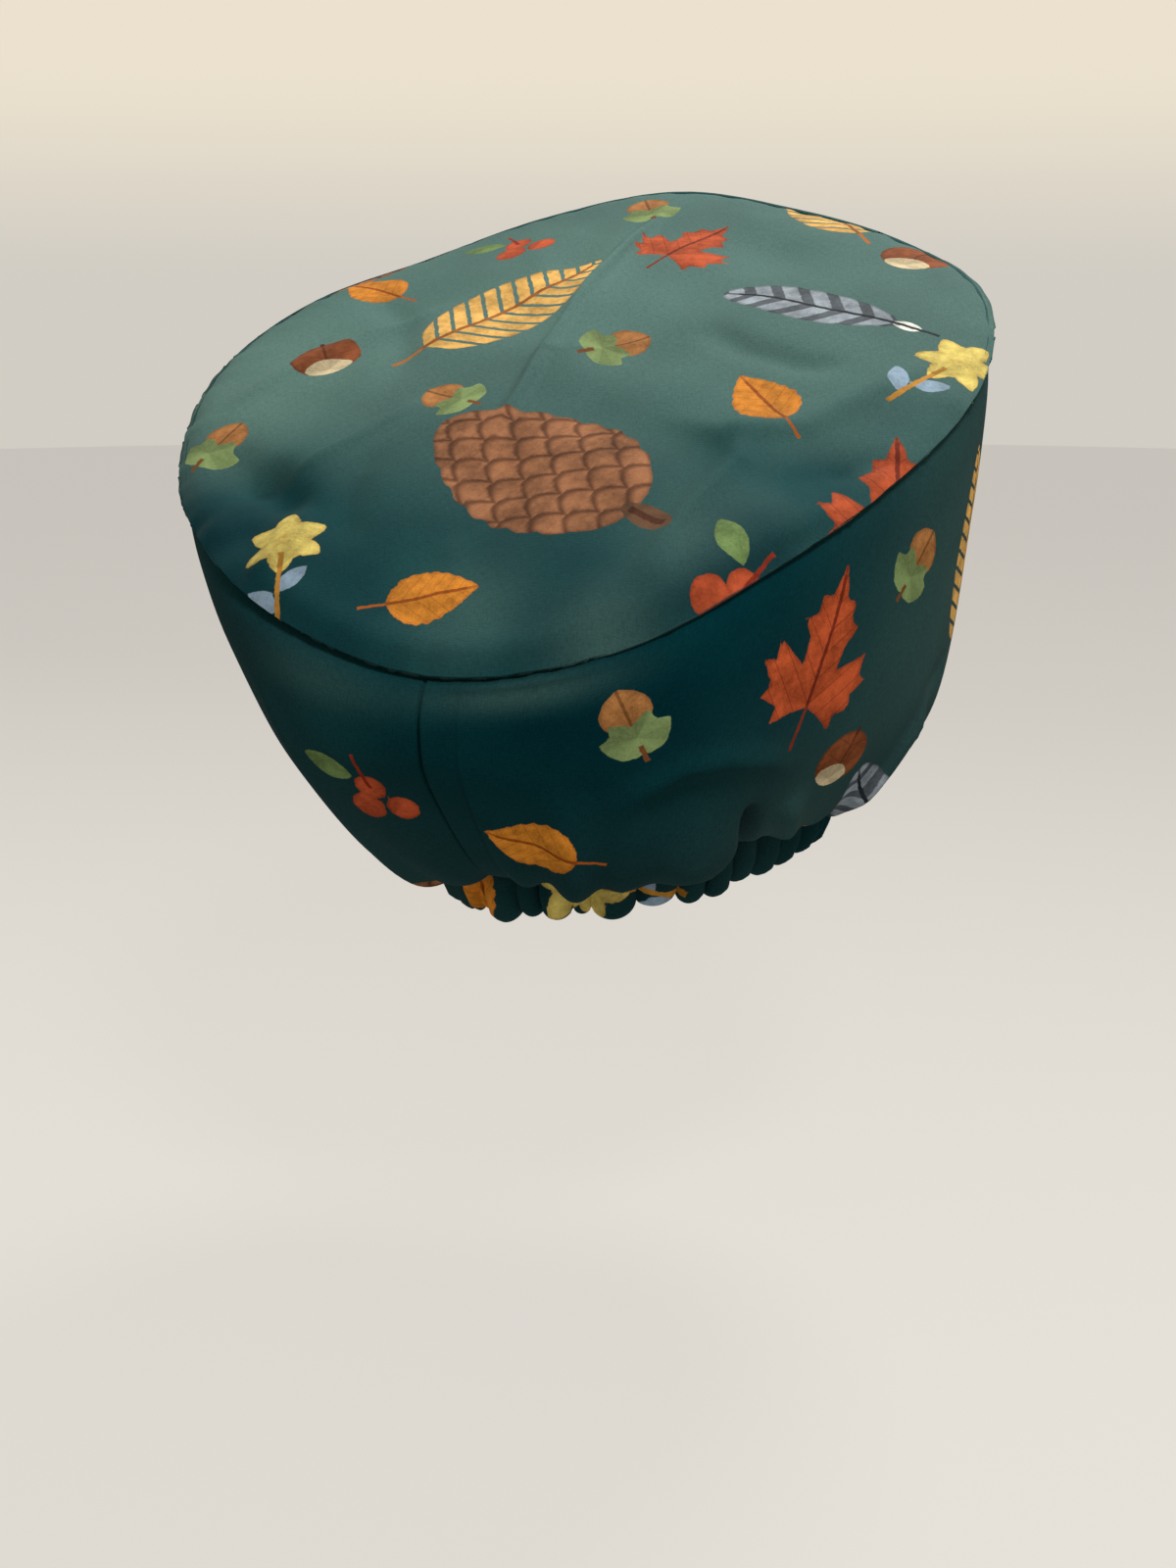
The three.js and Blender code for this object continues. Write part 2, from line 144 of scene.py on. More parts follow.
# Seam between crown and band. turn: degrees from the back towards the wearer's left.
# reach: share of the plain oval. lift: off the oval's plane, as a share of CROWN_WIDTH.
CROWN_SEAM = {
    "turn": [0, 22.5, 45, 67.5, 90, 112.5, 135, 157.5, 180, 202.5, 225, 247.5, 270, 292.5, 315, 337.5],
    "reach": [1.018, 1.011, 1.003, 1.014, 1.017, 0.99, 0.976, 0.995,
              0.993, 0.978, 1.016, 1.06, 1.023, 0.957, 0.954, 0.995],
    "lift": [-0.024, -0.001, 0.014, 0.01, 0.014, 0.005, -0.018, -0.014,
             0.003, -0.002, -0.002, 0.011, 0.01, 0.006, 0.004, -0.015],
}

# Dents and raised folds of the crown, as in the solid. back, left: shares of the half sizes.
CROWN_FOLDS = {
    "back": [0.56, 0.74, 0.42, -0.26, 0.3, -0.6, -0.35],
    "left": [0.58, 0.46, -0.8, 0.02, -0.3, -0.36, 0.62],
    "turn": [55, 20, 35, 5, 62, 30, 12],
    "long": [0.09, 0.1, 0.12, 0.3, 0.2, 0.16, 0.16],
    "wide": [0.035, 0.035, 0.055, 0.03, 0.05, 0.05, 0.06],
    "rise": [-0.014, 0.008, -0.014, 0.007, -0.007, -0.008, -0.006],
}

# Shape of the band down each direction: level run and fall to the wall's turn and to the sag,
# belly and level as shares of BAND_DROP, reach as a share of HEAD_REACH.
BAND_SHAPE = {
    "turn": [0, 24, 45, 72, 90, 108, 135, 180, 225, 252, 275, 300, 330, 345],
    "wall_run": [0.123, 0.107, 0.29, 0.386, 0.368, 0.284, 0.2, 0.1, 0.2, 0.237, 0.235, 0.208, 0.165, 0.133],
    "wall_fall": [0.531, 0.563, 0.632, 0.705, 0.751, 0.8, 0.8, 0.68, 0.8, 0.82, 0.746, 0.741, 0.624, 0.554],
    "bag_run": [0.55, 0.588, 0.683, 0.777, 0.702, 0.614, 0.55, 0.5, 0.55, 0.662, 0.614, 0.622, 0.518, 0.462],
    "bag_fall": [1.026, 1.084, 0.967, 0.955, 0.97, 0.988, 0.97, 0.88, 0.99, 1.009, 1.032, 1.02,
                 1.066, 1.096],
    "belly": [0.039, 0.034, 0.037, 0.026, 0.016, 0.008, 0.014, 0.02, 0.008, 0.014, 0.02, 0.028,
              0.029, 0.031],
    "reach": [0.845, 0.786, 0.726, 0.714, 0.738, 0.8, 0.95, 1.1, 0.976, 0.833, 0.786, 0.762, 0.798, 0.833],
    "level": [1, 1.035, 1.045, 1.015, 0.995, 0.98, 0.76, 0.34, 0.76, 0.925, 0.93, 0.945, 0.975, 0.99],
}

# Broad folds of the band, as in the solid. wide in degrees, tall as a share of the height.
BAND_FOLDS = {
    "turn": [312, 296, 262, 28, 60, 84, 345, 318, 150, 205, 120],
    "share": [0.86, 0.74, 0.72, 0.84, 0.55, 0.6, 0.3, 0.45, 0.5, 0.45, 0.66],
    "wide": [6, 9, 7, 7, 10, 9, 12, 14, 10, 12, 8],
    "tall": [0.09, 0.12, 0.1, 0.1, 0.2, 0.22, 0.14, 0.18, 0.25, 0.25, 0.14],
    "rise": [-0.045, 0.02, -0.02, -0.03, -0.014, 0.014, -0.012, 0.012, -0.014, -0.014, 0.014],
}

# Casing from its top line down. down and bulge: shares of CASING_HEIGHT. lobe: share of LOBE_DEPTH.
CASING_SHAPE = {
    "down": [0, 0.25, 0.45, 0.7, 0.9, 1],
    "bulge": [0, 0.06, 0.13, 0.12, 0.06, -0.03],
    "lobe": [0.55, 0.8, 1, 0.95, 0.8, 0.55],
}

# The crown's ground is painted paler towards its front, from the first to the second distance below, in
# millimetres behind its middle,
# apart from these places: mostly painted sheen where light grazes the crown's far side, partly dust.
# back, left and wide: millimetres. share: added to the paleness.
DUST_AND_SHEEN_FROM = 118.0
DUST_AND_SHEEN_TO = -14.0
DUST_AND_SHEEN_MOST = 0.62
DUST_AND_SHEEN_PLACES = {
    "back": [60, 50, 84, 86, 20, 26, 130, 121, 101, -62],
    "left": [-100, -70, -58, 82, -119, 100, -46, -4, -64, 12],
    "wide": [16, 18, 16, 26, 20, 40, 15, 18, 16, 40],
    "share": [-0.3, -0.2, 0.12, -0.26, -0.2, 0.34, 0.36, 0.26, 0.18, 0.12],
}

# And the band's painted light and sheen, partly dust. turn and wide in degrees, share and tall as shares of
# the height.
BAND_DUST_AND_SHEEN_PLACES = {
    "turn": [272, 304, 340, 32, 60, 130, 215, 352, 20],
    "share": [0.3, 0.72, 0.85, 0.8, 0.35, 0.4, 0.4, 0.1, 0.14],
    "wide": [25, 22, 26, 26, 30, 30, 30, 12, 12],
    "tall": [0.5, 0.3, 0.22, 0.35, 0.5, 0.5, 0.5, 0.07, 0.1],
    "amount": [0.34, 0.24, 0.14, 0.2, 0.14, 0.1, 0.1, 0.28, 0.16],
}

# Fine folds of the crown: a path through (back, left) places from the crown's middle, width and
# rise in millimetres, and lean, above 0 where the left flank is fuller.
CROWN_LINES = [
    ([(119, -50), (84, -60), (54, -70), (28, -66)], 5, 2.6, 0.7),
    ([(35, 122), (8, 98), (-20, 75), (-45, 48)], 5, 2.2, 0.6),
    ([(104, 34), (92, 46), (70, 52), (50, 44)], 7, -1.6, 0.3),
    ([(66, 14), (54, 12), (19, 9), (-28, 5), (-58, 2), (-95, -2), (-138, -6)], 2.8, 2.9, 0.8),
    ([(76, 76), (68, 70), (52, 58), (37, 48), (22, 40)], 3, 1.7, 0.4),
    ([(52, 110), (62, 101), (72, 90), (82, 80)], 10, -3.4, 0.4),
    ([(62, 90), (69, 83), (77, 73), (88, 62)], 8, -2.8, -0.4),
    ([(98, 88), (106, 79), (114, 66)], 10, -3.4, 0),
    ([(122, 72), (110, 66), (98, 62), (84, 58)], 6, 2.6, 0.5),
    ([(6, 18), (-1, 4), (-3, -8), (-8, -18), (-16, -30)], 2.4, 0.5, 0.5),
    ([(58, -96), (49, -107), (44, -120)], 4.5, -2.2, 0.3),
    ([(31, -35), (39, -61), (31, -84), (10, -104), (-18, -124)], 6, 2.2, -0.5),
    ([(-22, -35), (-6, -56), (2, -78), (2, -100)], 6, -2, 0.3),
    ([(-120, -30), (-124, -50), (-128, -72)], 7, -1.6, 0),
    ([(-60, 100), (-30, 74), (4, 60), (30, 62)], 7, -1.8, 0.4),
    ([(-90, 40), (-60, 26), (-30, 20)], 7, 0.8, -0.4),
    ([(128, 10), (112, 4), (92, 10)], 6, 0.9, 0.5),
]

# Fine folds of the band, through (turn, share of the height) places
BAND_LINES = [
    ([(342, 0.6), (336, 0.5), (330, 0.44), (323, 0.43), (315, 0.45), (306, 0.51)], 5, 2.6, 0.6),
    ([(338, 0.72), (326, 0.68), (312, 0.72)], 17, 5, 0),
    ([(316, 0.55), (315, 0.6), (313, 0.7), (312, 0.82)], 4.6, -10, 0.4),
    ([(306, 0.56), (304, 0.64), (301, 0.72), (298, 0.8)], 7, 4.4, 0.3),
    ([(328, 0.66), (324, 0.74), (322, 0.84)], 8, 2.6, 0.2),
    ([(352, 0.7), (350, 0.8), (349, 0.9)], 8, 2, -0.2),
    ([(338, 0.72), (336, 0.82), (335, 0.92)], 4, -2, 0),
    ([(24, 0.55), (18, 0.72), (16, 0.9)], 5, -1.8, 0.3),
    ([(269, 0.47), (269, 0.51), (275, 0.57), (279, 0.68), (282, 0.76)], 4, 3.4, 0.6),
    ([(266, 0.5), (272, 0.6), (276, 0.7), (279, 0.8)], 3, -3.4, 0),
    ([(262, 0.44), (268, 0.45), (274, 0.46)], 3, -1.6, 0),
    ([(36, 0.16), (30, 0.3), (26, 0.45), (24, 0.6), (22, 0.72)], 6, 1.2, 0.5),
    ([(342, 0.03), (341, 0.12), (338, 0.24), (338, 0.34)], 4.5, 0.8, 0.5),
    ([(334, 0.02), (332, 0.14), (333, 0.24)], 4.5, 0.7, 0.3),
    ([(70, 0.1), (64, 0.3), (60, 0.55), (58, 0.75)], 7, 1.6, -0.4),
    ([(120, 0.1), (112, 0.35), (108, 0.7)], 8, 1.8, 0.4),
    ([(170, 0.12), (160, 0.4), (158, 0.75)], 8, 1.6, 0.4),
    ([(226, 0.1), (232, 0.35), (230, 0.7)], 8, 1.6, -0.4),
]

# Soft ripples of the cloth: height, seed, shortest and longest wave in millimetres, number of waves
RIPPLES = {
    "crown_pucker": (0.32, 3, 9, 24, 9),
    "crown_slack": (1.0, 11, 40, 110, 5),
    "crown_cross_slack": (0.8, 12, 36, 100, 5),
    "band_pucker": (1.0, 5, 8, 22, 9),
    "band_drawn": (1.6, 8, 16, 40, 9),
    "band_slack": (0.7, 9, 45, 120, 6),
    "casing_crumple": (0.5, 21, 5, 14, 9),
}

# Colours of the print, as red, green and blue from 0 to 255
# The crown and band are one cloth: the crown's ground is painted lighter, as painted light, and the band's
# darker, as painted shade.
CROWN_DARK = (3, 45, 52)
CROWN_LIGHT = (11, 62, 65)
BAND_DARK = (0, 42, 50)
BAND_LIGHT = (3, 52, 58)
GROUND_DUST_AND_SHEEN = (88, 120, 114)  # the ground made paler by painted sheen, partly dust
WRONG_DARK = (26, 62, 66)
WRONG_LIGHT = (36, 74, 76)
TINT_RANGE = 0.1
PRINT_SEED = 7
BRIGHTEST_INK = 0.9
FAR_FROM_MOTIF = 40.0  # distance that stands for none near, in millimetres
NO_MOTIF = 60.0
MOTIF_UNSEEN = 1000.0
OUTLINE_PLACES = 60
ROUND_PLACES = 40
BESIDE_MOTIF = 1.3  # how far a motif is looked for, as a share of its reach
LEVEL_WITH_MOTIF = 0.75
CROWN_INK = 0.7  # how bright the inks are on the crown: painted shade, the same inks set darker than on the band only for the stronger light on the crown
BAND_INK = 0.95  # and on the band
UV_UNIT = 100.0  # millimetres of cloth for one unit of a UV map

# Watercolour inks. Noises: scale, detail and roughness. Reaches and wobbles in millimetres.
INK_BLOTCH = (5.5, 4.0, 0.6)
INK_GRAIN = (34.0, 4.0, 0.65)
INK_FINE = (120.0, 2.0, 0.6)
INK_EDGE = 0.22
OUTLINE_WOBBLE = 1.5
SECOND_WOBBLE = 1.2
STALK_WOBBLE = 1.4
RIM_REACH = (-1.5, -0.2)
RIM_DARK = 0.35
STROKE_WOBBLE = 1.6
STROKE_SOFT = 0.9
STROKE_DARK = 0.75
CUT_SOFT = 0.7
RIB_EDGE = (0.75, 0.3)
RIB_GONE = 9.0
WASH_FROM_TO = (0.34, 0.66)
WASH_DEPTH = 0.62
WASH_LEAST = 0.66
GRAIN_DEPTH = 0.9
FINE_DEPTH = 0.5
JUST_OVER_NONE = 0.001

# Scales of the cone, as shares of the stroke spacing
SCALE_WOBBLE = 2.0
SCALE_TALL = 0.62
SCALE_TIP = 0.92
SCALE_CURVE = 3.2
SCALE_SOFT = 0.34
SCALE_OFFSET = 20.0  # keeps the count of rows above zero

# Cotton
THREAD_NOISE = (42.0, 3.0, 0.65)
THREAD_STRETCH = 5.0
THREAD_HEIGHT = 0.5
CRUMPLE_NOISE = (7.0, 4.0, 0.55)
TONE_NOISE = (1.3, 3.0, 0.55)
TONE_FROM_TO = (0.3, 0.72)
DUST_AND_SHEEN_UNEVEN = 0.7
WEAVE_SHADE = 1.5
ROUGH_LEAST = 0.72
ROUGH_UNEVEN = 0.14
BUMP_STRENGTH = 0.5
BUMP_DISTANCE = 0.0004  # metres
SHEEN_ROUGHNESS = 0.45
SHEEN_TINT = (0.86, 0.93, 0.9, 1)

# Room, floor and lights, in metres and watts. Lights: place, aim, width, power and colour.
ROOM_SEEN = 1.0  # brightness of the room as seen, and as light on the cap
ROOM_LIGHT = 0.5
WALL_LOW = (210, 205, 196)
WALL_HIGH = (235, 225, 206)
WALL_FROM_TO = (0.0, 0.11)
FLOOR_RADIUS = 4.0
FLOOR_CORNERS = 96
FLOOR_ROUGHNESS = 0.9
FLOOR_DROP = 311.3  # millimetres below the crown's middle
FLOOR_COLOUR = (0.08, 0.078, 0.072, 1)
FLOOR_GLOW_COLOUR = (1, 0.955, 0.89, 1)
FLOOR_GLOW = 0.51
FLOOR_GLOW_MORE = 0.15
FLOOR_FROM_TO = (-1.1, 0.3)
FLOOR_LIGHT = 0.4
LIGHTS = {
    "overhead": ((-0.25, -0.75, 1.25), (0, 0, 0), 0.5, 20.0, (1, 0.97, 0.92)),
    "behind_camera": ((-0.6, 0.95, 1.1), (0, 0, -0.05), 0.35, 15.0, (1, 0.98, 0.95)),
}
VIEW_PLACE = (-203.5, 661.8, 31.7)  # millimetres, its height over the crown's middle
VIEW_LENS = 45
VIEW_SENSOR = 36
LOOK_TURN = math.radians(18)
LOOK_DOWN = math.radians(14.1)


def linear(rgb):
    """Colour from 0 to 255 as linear light."""
    values = np.array(rgb, float) / 255
    low = values / 12.92
    high = ((values + 0.055) / 1.055) ** 2.4
    return tuple(float(x) for x in np.where(values <= 0.04045, low, high))


def smooth_between(share, start, end, slope_start, slope_end):
    """Smooth curve from start to end with a slope at each."""
    squared = share**2
    cubed = share**3
    return (
        (2 * cubed - 3 * squared + 1) * start
        + (cubed - 2 * squared + share) * slope_start
        + (3 * squared - 2 * cubed) * end
        + (cubed - squared) * slope_end
    )


def around(table, column, turns):
    """Closed smooth line through one column of a table of turns."""
    xs = np.array(table["turn"], float)
    ys = np.array(table[column], float)
    xs = np.concatenate([xs[-2:] - FULL_TURN, xs, xs[:2] + FULL_TURN])
    ys = np.concatenate([ys[-2:], ys, ys[:2]])
    at = np.mod(turns, FULL_TURN)
    k = np.searchsorted(xs, at, side="right") - 1
    width = xs[k + 1] - xs[k]
    slope_start = (ys[k + 1] - ys[k - 1]) / (xs[k + 1] - xs[k - 1]) * width
    slope_end = (ys[k + 2] - ys[k]) / (xs[k + 2] - xs[k]) * width
    return smooth_between((at - xs[k]) / width, ys[k], ys[k + 1], slope_start, slope_end)


def turn_between(turn, middle):
    """Degrees from one turn to another, the short way round."""
    return np.mod(turn - middle + FULL_TURN / 2, FULL_TURN) - FULL_TURN / 2


def bell(distance, width):
    return np.exp(-((distance / width) ** 2))


def smooth_step(value, start, end):
    share = np.clip((value - start) / (end - start), 0, 1)
    return share * share * (3 - 2 * share)


def rows_of(table):
    """The rows of a table of named columns."""
    names = list(table)
    return [dict(zip(names, values)) for values in zip(*table.values())]


OVAL_BACK = np.array([0, math.cos(CROWN_TILT), -math.sin(CROWN_TILT)])
OVAL_LEFT = np.array([1.0, 0, 0])
OVAL_UP = np.array([0, math.sin(CROWN_TILT), math.cos(CROWN_TILT)])


def crown_height(back, left):
    """Height of the crown's face over its seam's plane, at shares of the half sizes."""
    out = np.minimum(np.hypot(back, left), 1)
    height = DOME_HEIGHT * (1 - out**2) + ROLL_HEIGHT * (1 - out**ROLL_POWER)
    folds = 0
    for fold in rows_of(CROWN_FOLDS):
        along_back = (back - fold["back"]) * CROWN_LENGTH / 2
        along_left = (left - fold["left"]) * CROWN_WIDTH / 2
        c = math.cos(math.radians(fold["turn"]))
        s = math.sin(math.radians(fold["turn"]))
        lengthways = bell(along_back * c - along_left * s, fold["long"] * CROWN_LENGTH)
        crossways = bell(along_back * s + along_left * c, fold["wide"] * CROWN_LENGTH)
        folds = folds + fold["rise"] * CROWN_LENGTH * lengthways * crossways
    return height + folds * (1 - out**FLAT_POWER)


SEAT_HEIGHT = crown_height(
    -CROWN_BACK_OF_SEAT / math.cos(CROWN_TILT) / (CROWN_LENGTH / 2),
    -CROWN_LEFT_OF_SEAT / (CROWN_WIDTH / 2),
) - CAD_WALL
CROWN_MIDDLE = np.array([
    CROWN_LEFT_OF_SEAT,
    CROWN_BACK_OF_SEAT,
    -CROWN_BACK_OF_SEAT * math.tan(CROWN_TILT) - SEAT_HEIGHT / math.cos(CROWN_TILT),
])


def crown_point(turn, out):
    """Points of the crown's outer face: turn in degrees, out from 0 in the middle to 1 at the seam."""
    reach = around(CROWN_SEAM, "reach", turn)
    lift = around(CROWN_SEAM, "lift", turn) * CROWN_WIDTH
    back = out * np.cos(np.radians(turn))
    left = out * np.sin(np.radians(turn))
    return (
        CROWN_MIDDLE
        + (back * reach * CROWN_LENGTH / 2)[..., None] * OVAL_BACK
        + (left * reach * CROWN_WIDTH / 2)[..., None] * OVAL_LEFT
        + (crown_height(back, left) + lift * out**2)[..., None] * OVAL_UP
    )


def twisted(turn, share):
    """The band's columns run round with the back seam from the crown to the casing."""
    off = np.minimum(np.abs(turn_between(turn, BACK_SEAM_TURN)) / TWIST_REACH, 1)
    return turn - BACK_SEAM_TWIST * (1 - share) * np.cos(off * math.pi / 2) ** 2


def level_out(turn):
    return np.stack([np.sin(np.radians(turn)), np.cos(np.radians(turn)), 0 * turn], -1)


def casing_top(turn):
    """Top line of the casing, without its gathers."""
    point = level_out(turn) * (around(BAND_SHAPE, "reach", turn) * HEAD_REACH)[..., None]
    point[..., 2] = CROWN_MIDDLE[2] - around(BAND_SHAPE, "level", turn) * BAND_DROP
    return point


def smooth_through(knots, share):
    """Even smooth curve through a list of point arrays, at a share from 0 to 1."""
    spans = len(knots) - 1
    k = min(int(share * spans), spans - 1)
    w = share * spans - k
    before = knots[k - 1] if k > 0 else 2 * knots[0] - knots[1]
    after = knots[k + 2] if k + 2 <= spans else 2 * knots[-1] - knots[-2]
    start, end = knots[k], knots[k + 1]
    return smooth_between(w, start, end, (end - before) / 2, (after - start) / 2)


def band_rows(turn):
    """The band's outer face: one array of points for each share of its height."""
    foot = casing_top(turn)
    top = crown_point(twisted(turn, 0), np.ones_like(turn))

    def place(share, run, fall):
        start = crown_point(twisted(turn, share), np.ones_like(turn))
        blend = np.stack([run, run, fall], -1)
        return start + (foot - start) * blend

    wall = place(WALL_TWIST, around(BAND_SHAPE, "wall_run", turn), around(BAND_SHAPE, "wall_fall", turn))
    bag = place(BAG_TWIST, around(BAND_SHAPE, "bag_run", turn), around(BAND_SHAPE, "bag_fall", turn))
    belly = top + (wall - top) * BELLY_PLACE
    belly = belly + level_out(turn) * (around(BAND_SHAPE, "belly", turn) * BAND_DROP)[..., None]
    return [smooth_through([top, belly, wall, bag, foot], share) for share in BAND_SHARES]


def casing_profile(column, down):
    """One column of the casing's shape at a share down from its top line."""
    return np.interp(down, CASING_SHAPE["down"], CASING_SHAPE[column])


# Edges of the gathers, in degrees from the back towards the wearer's left, and how full each is
LOBE_EDGES = np.array([
    -115, -107, -99.5, -91, -82, -70, -60, -50.5, -42, -34, -22, -10, -5,
    3, 10, 22, 26, 31, 40, 54, 62, 71, 79, 88, 97, 106, 115,
], float)
LOBE_FULLNESS = np.array([
    0.8, 1.0, 0.9, 1.1, 0.9, 1.1, 1.05, 1.15, 1.1, 1.0, 1.15, 0.55,
    1.25, 0.9, 1.05, 0.5, 0.9, 0.8, 1.0, 0.85, 1.1, 0.9, 1.0, 1.1, 0.9, 0.8,
])


def lobe_at(turn):
    """How far the gathers stand out at each turn, and which gather it is."""
    at = turn_between(turn, 0)
    k = np.clip(np.searchsorted(LOBE_EDGES, at, side="right") - 1, 0, len(LOBE_FULLNESS) - 1)
    share = np.clip((at - LOBE_EDGES[k]) / (LOBE_EDGES[k + 1] - LOBE_EDGES[k]), 0, 1)
    inside = np.abs(at) < CASING_ARC / 2
    height = np.sin(math.pi * share) ** LOBE_POWER * LOBE_FULLNESS[k]
    return np.where(inside, height, 0), np.where(inside, k, -1)


def casing_rows(turn):
    """The casing's and hem's outer face below the casing's top line."""
    top = casing_top(turn)
    lobe, which = lobe_at(turn)
    hang = LOBE_HANG * lobe * (1 + LOBE_HANG_UNEVEN * np.sin(which * LOBE_HANG_STEP))
    rows = []
    for down in np.linspace(0, 1, CASING_ROWS)[1:]:
        point = top + level_out(turn) * casing_profile("bulge", down) * CASING_HEIGHT
        point[..., 2] = point[..., 2] - down * (CASING_HEIGHT + hang)
        rows.append(point)
    return rows


def columns_round():
    """Turns of the cloth's columns, closest together beside the back seam."""
    fine = np.arange(-SEAM_FINE, SEAM_FINE, SEAM_FINE_STEP)
    rest = np.linspace(SEAM_FINE, FULL_TURN - SEAM_FINE, COARSE_COLUMNS, endpoint=False)
    return np.concatenate([fine, rest]) + BACK_SEAM_TURN


def outward(grid, pole):
    """Outward direction of a grid of points [column, row], closed round its columns."""
    across = np.roll(grid, -1, 0) - np.roll(grid, 1, 0)
    above = np.concatenate([np.broadcast_to(pole, (len(grid), 1, 3)), grid[:, :-1]], 1)
    below = np.concatenate([grid[:, 1:], grid[:, -1:]], 1)
    direction = np.cross(across, below - above)
    return direction / np.linalg.norm(direction, axis=-1, keepdims=True)


def beside_stretch(places, start, end):
    """Distance of places from a straight stretch, the run along it and which side they are on."""
    length = max(np.linalg.norm(end - start), LEAST_LENGTH)
    way = (end - start) / length
    away = places - start
    run = away @ way
    distance = np.linalg.norm(away - np.clip(run, 0, length)[..., None] * way, axis=-1)
    return distance, run, away[..., 0] * way[1] - away[..., 1] * way[0]


def beside_path(places, path):
    """Signed distance of each place from a path, and the share along the path."""
    path = np.array(path, float)
    lengths = np.linalg.norm(np.diff(path, axis=0), axis=1)
    starts = np.concatenate([[0], np.cumsum(lengths)])
    best = np.full(places.shape[:-1], np.inf)
    side = np.zeros_like(best)
    along = np.zeros_like(best)
    for k in range(len(lengths)):
        distance, run, cross = beside_stretch(places, path[k], path[k + 1])
        nearer = distance < best
        best = np.where(nearer, distance, best)
        side = np.where(nearer, np.sign(cross), side)
        along = np.where(nearer, (starts[k] + run) / starts[-1], along)
    return best * side, along


def path_folds(places, lines):
    """Relief of soft folds that follow paths."""
    total = np.zeros(places.shape[:-1])
    for path, wide, rise, lean in lines:
        off, along = beside_path(places, path)
        across = off / wide
        shape = np.exp(-(across**2)) * (1 + lean * np.tanh(across))
        ends = smooth_step(along, 0, FOLD_END) * smooth_step(1 - along, 0, FOLD_END)
        total = total + rise * shape * ends
    return total


def ripple(arc, name):
    """Irregular soft ripple along an arc in millimetres."""
    height, seed, shortest, longest, count = RIPPLES[name]
    choice = np.random.default_rng(seed)
    total = 0
    for _ in range(count):
        length = choice.uniform(shortest, longest)
        total = total + np.sin(arc / length * 2 * math.pi + choice.uniform(0, 2 * math.pi))
    return height * total / math.sqrt(count)


def tuck_depth(turn):
    """How far the band is tucked under the crown's edge, most where the crown hangs over it."""
    depth = SEAM_TUCK
    for more, middle, reach in TUCKED_MORE:
        depth = depth + more * bell(turn_between(turn, middle), reach)
    return depth


def crown_relief(turn, out):
    """Fine folds of the crown, and the swelling and drop of its edge."""
    reach = around(CROWN_SEAM, "reach", turn)
    back = out * np.cos(np.radians(turn)) * reach * CROWN_LENGTH / 2
    left = out * np.sin(np.radians(turn)) * reach * CROWN_WIDTH / 2
    inset = (1 - out) * CROWN_WIDTH / 2
    folds = path_folds(np.stack([back, left], -1), CROWN_LINES) * (1 - out**FOLDS_POWER)
    puckers = ripple(turn * ARC_PER_DEGREE, "crown_pucker") * np.exp(-inset / CROWN_PUCKER_REACH)
    rolled = smooth_step(bell(turn_between(turn, ROLL_TURN), ROLL_REACH), *ROLL_FROM_TO)
    for rise, place, wide in ROLL_FORMS:
        folds = folds + rolled * rise * bell(inset - place, wide)
    rise, place, wide = EDGE_SWELL
    most_at = bell(turn_between(turn, SWELL_TURN), SWELL_REACH)
    swell = rise * bell(inset - place, wide) * (SWELL_EVEN + (1 - SWELL_EVEN) * most_at)
    drop = -EDGE_DROP * np.exp(-inset / EDGE_DROP_REACH)
    slack = ripple(back + SLACK_SLOPE * left, "crown_slack")
    slack = slack + ripple(left + CROSS_SLACK_SLOPE * back, "crown_cross_slack")
    return folds + puckers + swell + drop + slack * (1 - out**SLACK_POWER)


def band_relief(turn, share):
    """Folds of the band, the tuck at its top, its back seam and the run of the gathers."""
    edges = np.sin(math.pi * share)
    folds = 0
    for fold in rows_of(BAND_FOLDS):
        sideways = bell(turn_between(turn, fold["turn"]), fold["wide"])
        folds = folds + fold["rise"] * BAND_DROP * sideways * bell(share - fold["share"], fold["tall"])
    for path, *form in BAND_LINES:
        first = path[0][0]
        flat = np.stack([turn_between(turn, first) * ARC_PER_DEGREE, share * BAND_HEIGHT], -1)
        places = [(turn_between(t, first) * ARC_PER_DEGREE, s * BAND_HEIGHT) for t, s in path]
        folds = folds + path_folds(flat, [(places, *form)])
    down = share * BAND_HEIGHT
    arc = turn_between(turn, FULL_TURN / 2) * ARC_PER_DEGREE
    lit = bell(turn_between(turn, LIT_TURN), LIT_REACH)
    puckers = (BAND_PUCKER + LIT_PUCKER * lit) * ripple(arc, "band_pucker")
    puckers = puckers * np.exp(-down / BAND_PUCKER_REACH)
    tuck = -tuck_depth(turn) * bell(down, TUCK_TALL)
    rise, place, wide = LIT_SWELL
    swell = rise * lit * bell(down - place, wide)
    beside = turn_between(turn, BACK_SEAM_TURN) * ARC_PER_DEGREE
    over = OVER_SEAM * np.exp(beside / OVER_SEAM_REACH)
    under = -UNDER_SEAM * np.exp(-beside / UNDER_SEAM_REACH)
    back_seam = np.where(beside < 0, over, under) - BACK_GROOVE * bell(beside, BACK_GROOVE_WIDE)
    lobe, _ = lobe_at(turn)
    gathers = lobe * smooth_step(share, *GATHERS_FROM_TO) * CASING_SHAPE["lobe"][0] * LOBE_DEPTH
    drawn = ripple(arc, "band_drawn") * smooth_step(share, *DRAWN_FROM_TO) * smooth_step(share, *DRAWN_END)
    slack = ripple(arc + SLACK_LEAN * share, "band_slack")
    return (
        (folds + slack) * edges + puckers + tuck + swell + gathers + drawn
        + back_seam * smooth_step(edges, 0, SEAM_END)
    )


turns = columns_round()
crown_turns = twisted(turns, 0)
middle_point = crown_point(np.zeros(1), np.zeros(1))[0]
crown_rows = [crown_point(crown_turns, np.full_like(turns, out)) for out in CROWN_RINGS]
smooth = np.stack(crown_rows + band_rows(turns)[1:] + casing_rows(turns), 1)
SEAM_ROW = len(CROWN_RINGS) - 1
CASING_ROW = SEAM_ROW + len(BAND_SHARES) - 1
FOOT_ROW = CASING_ROW + CASING_ROWS - 1


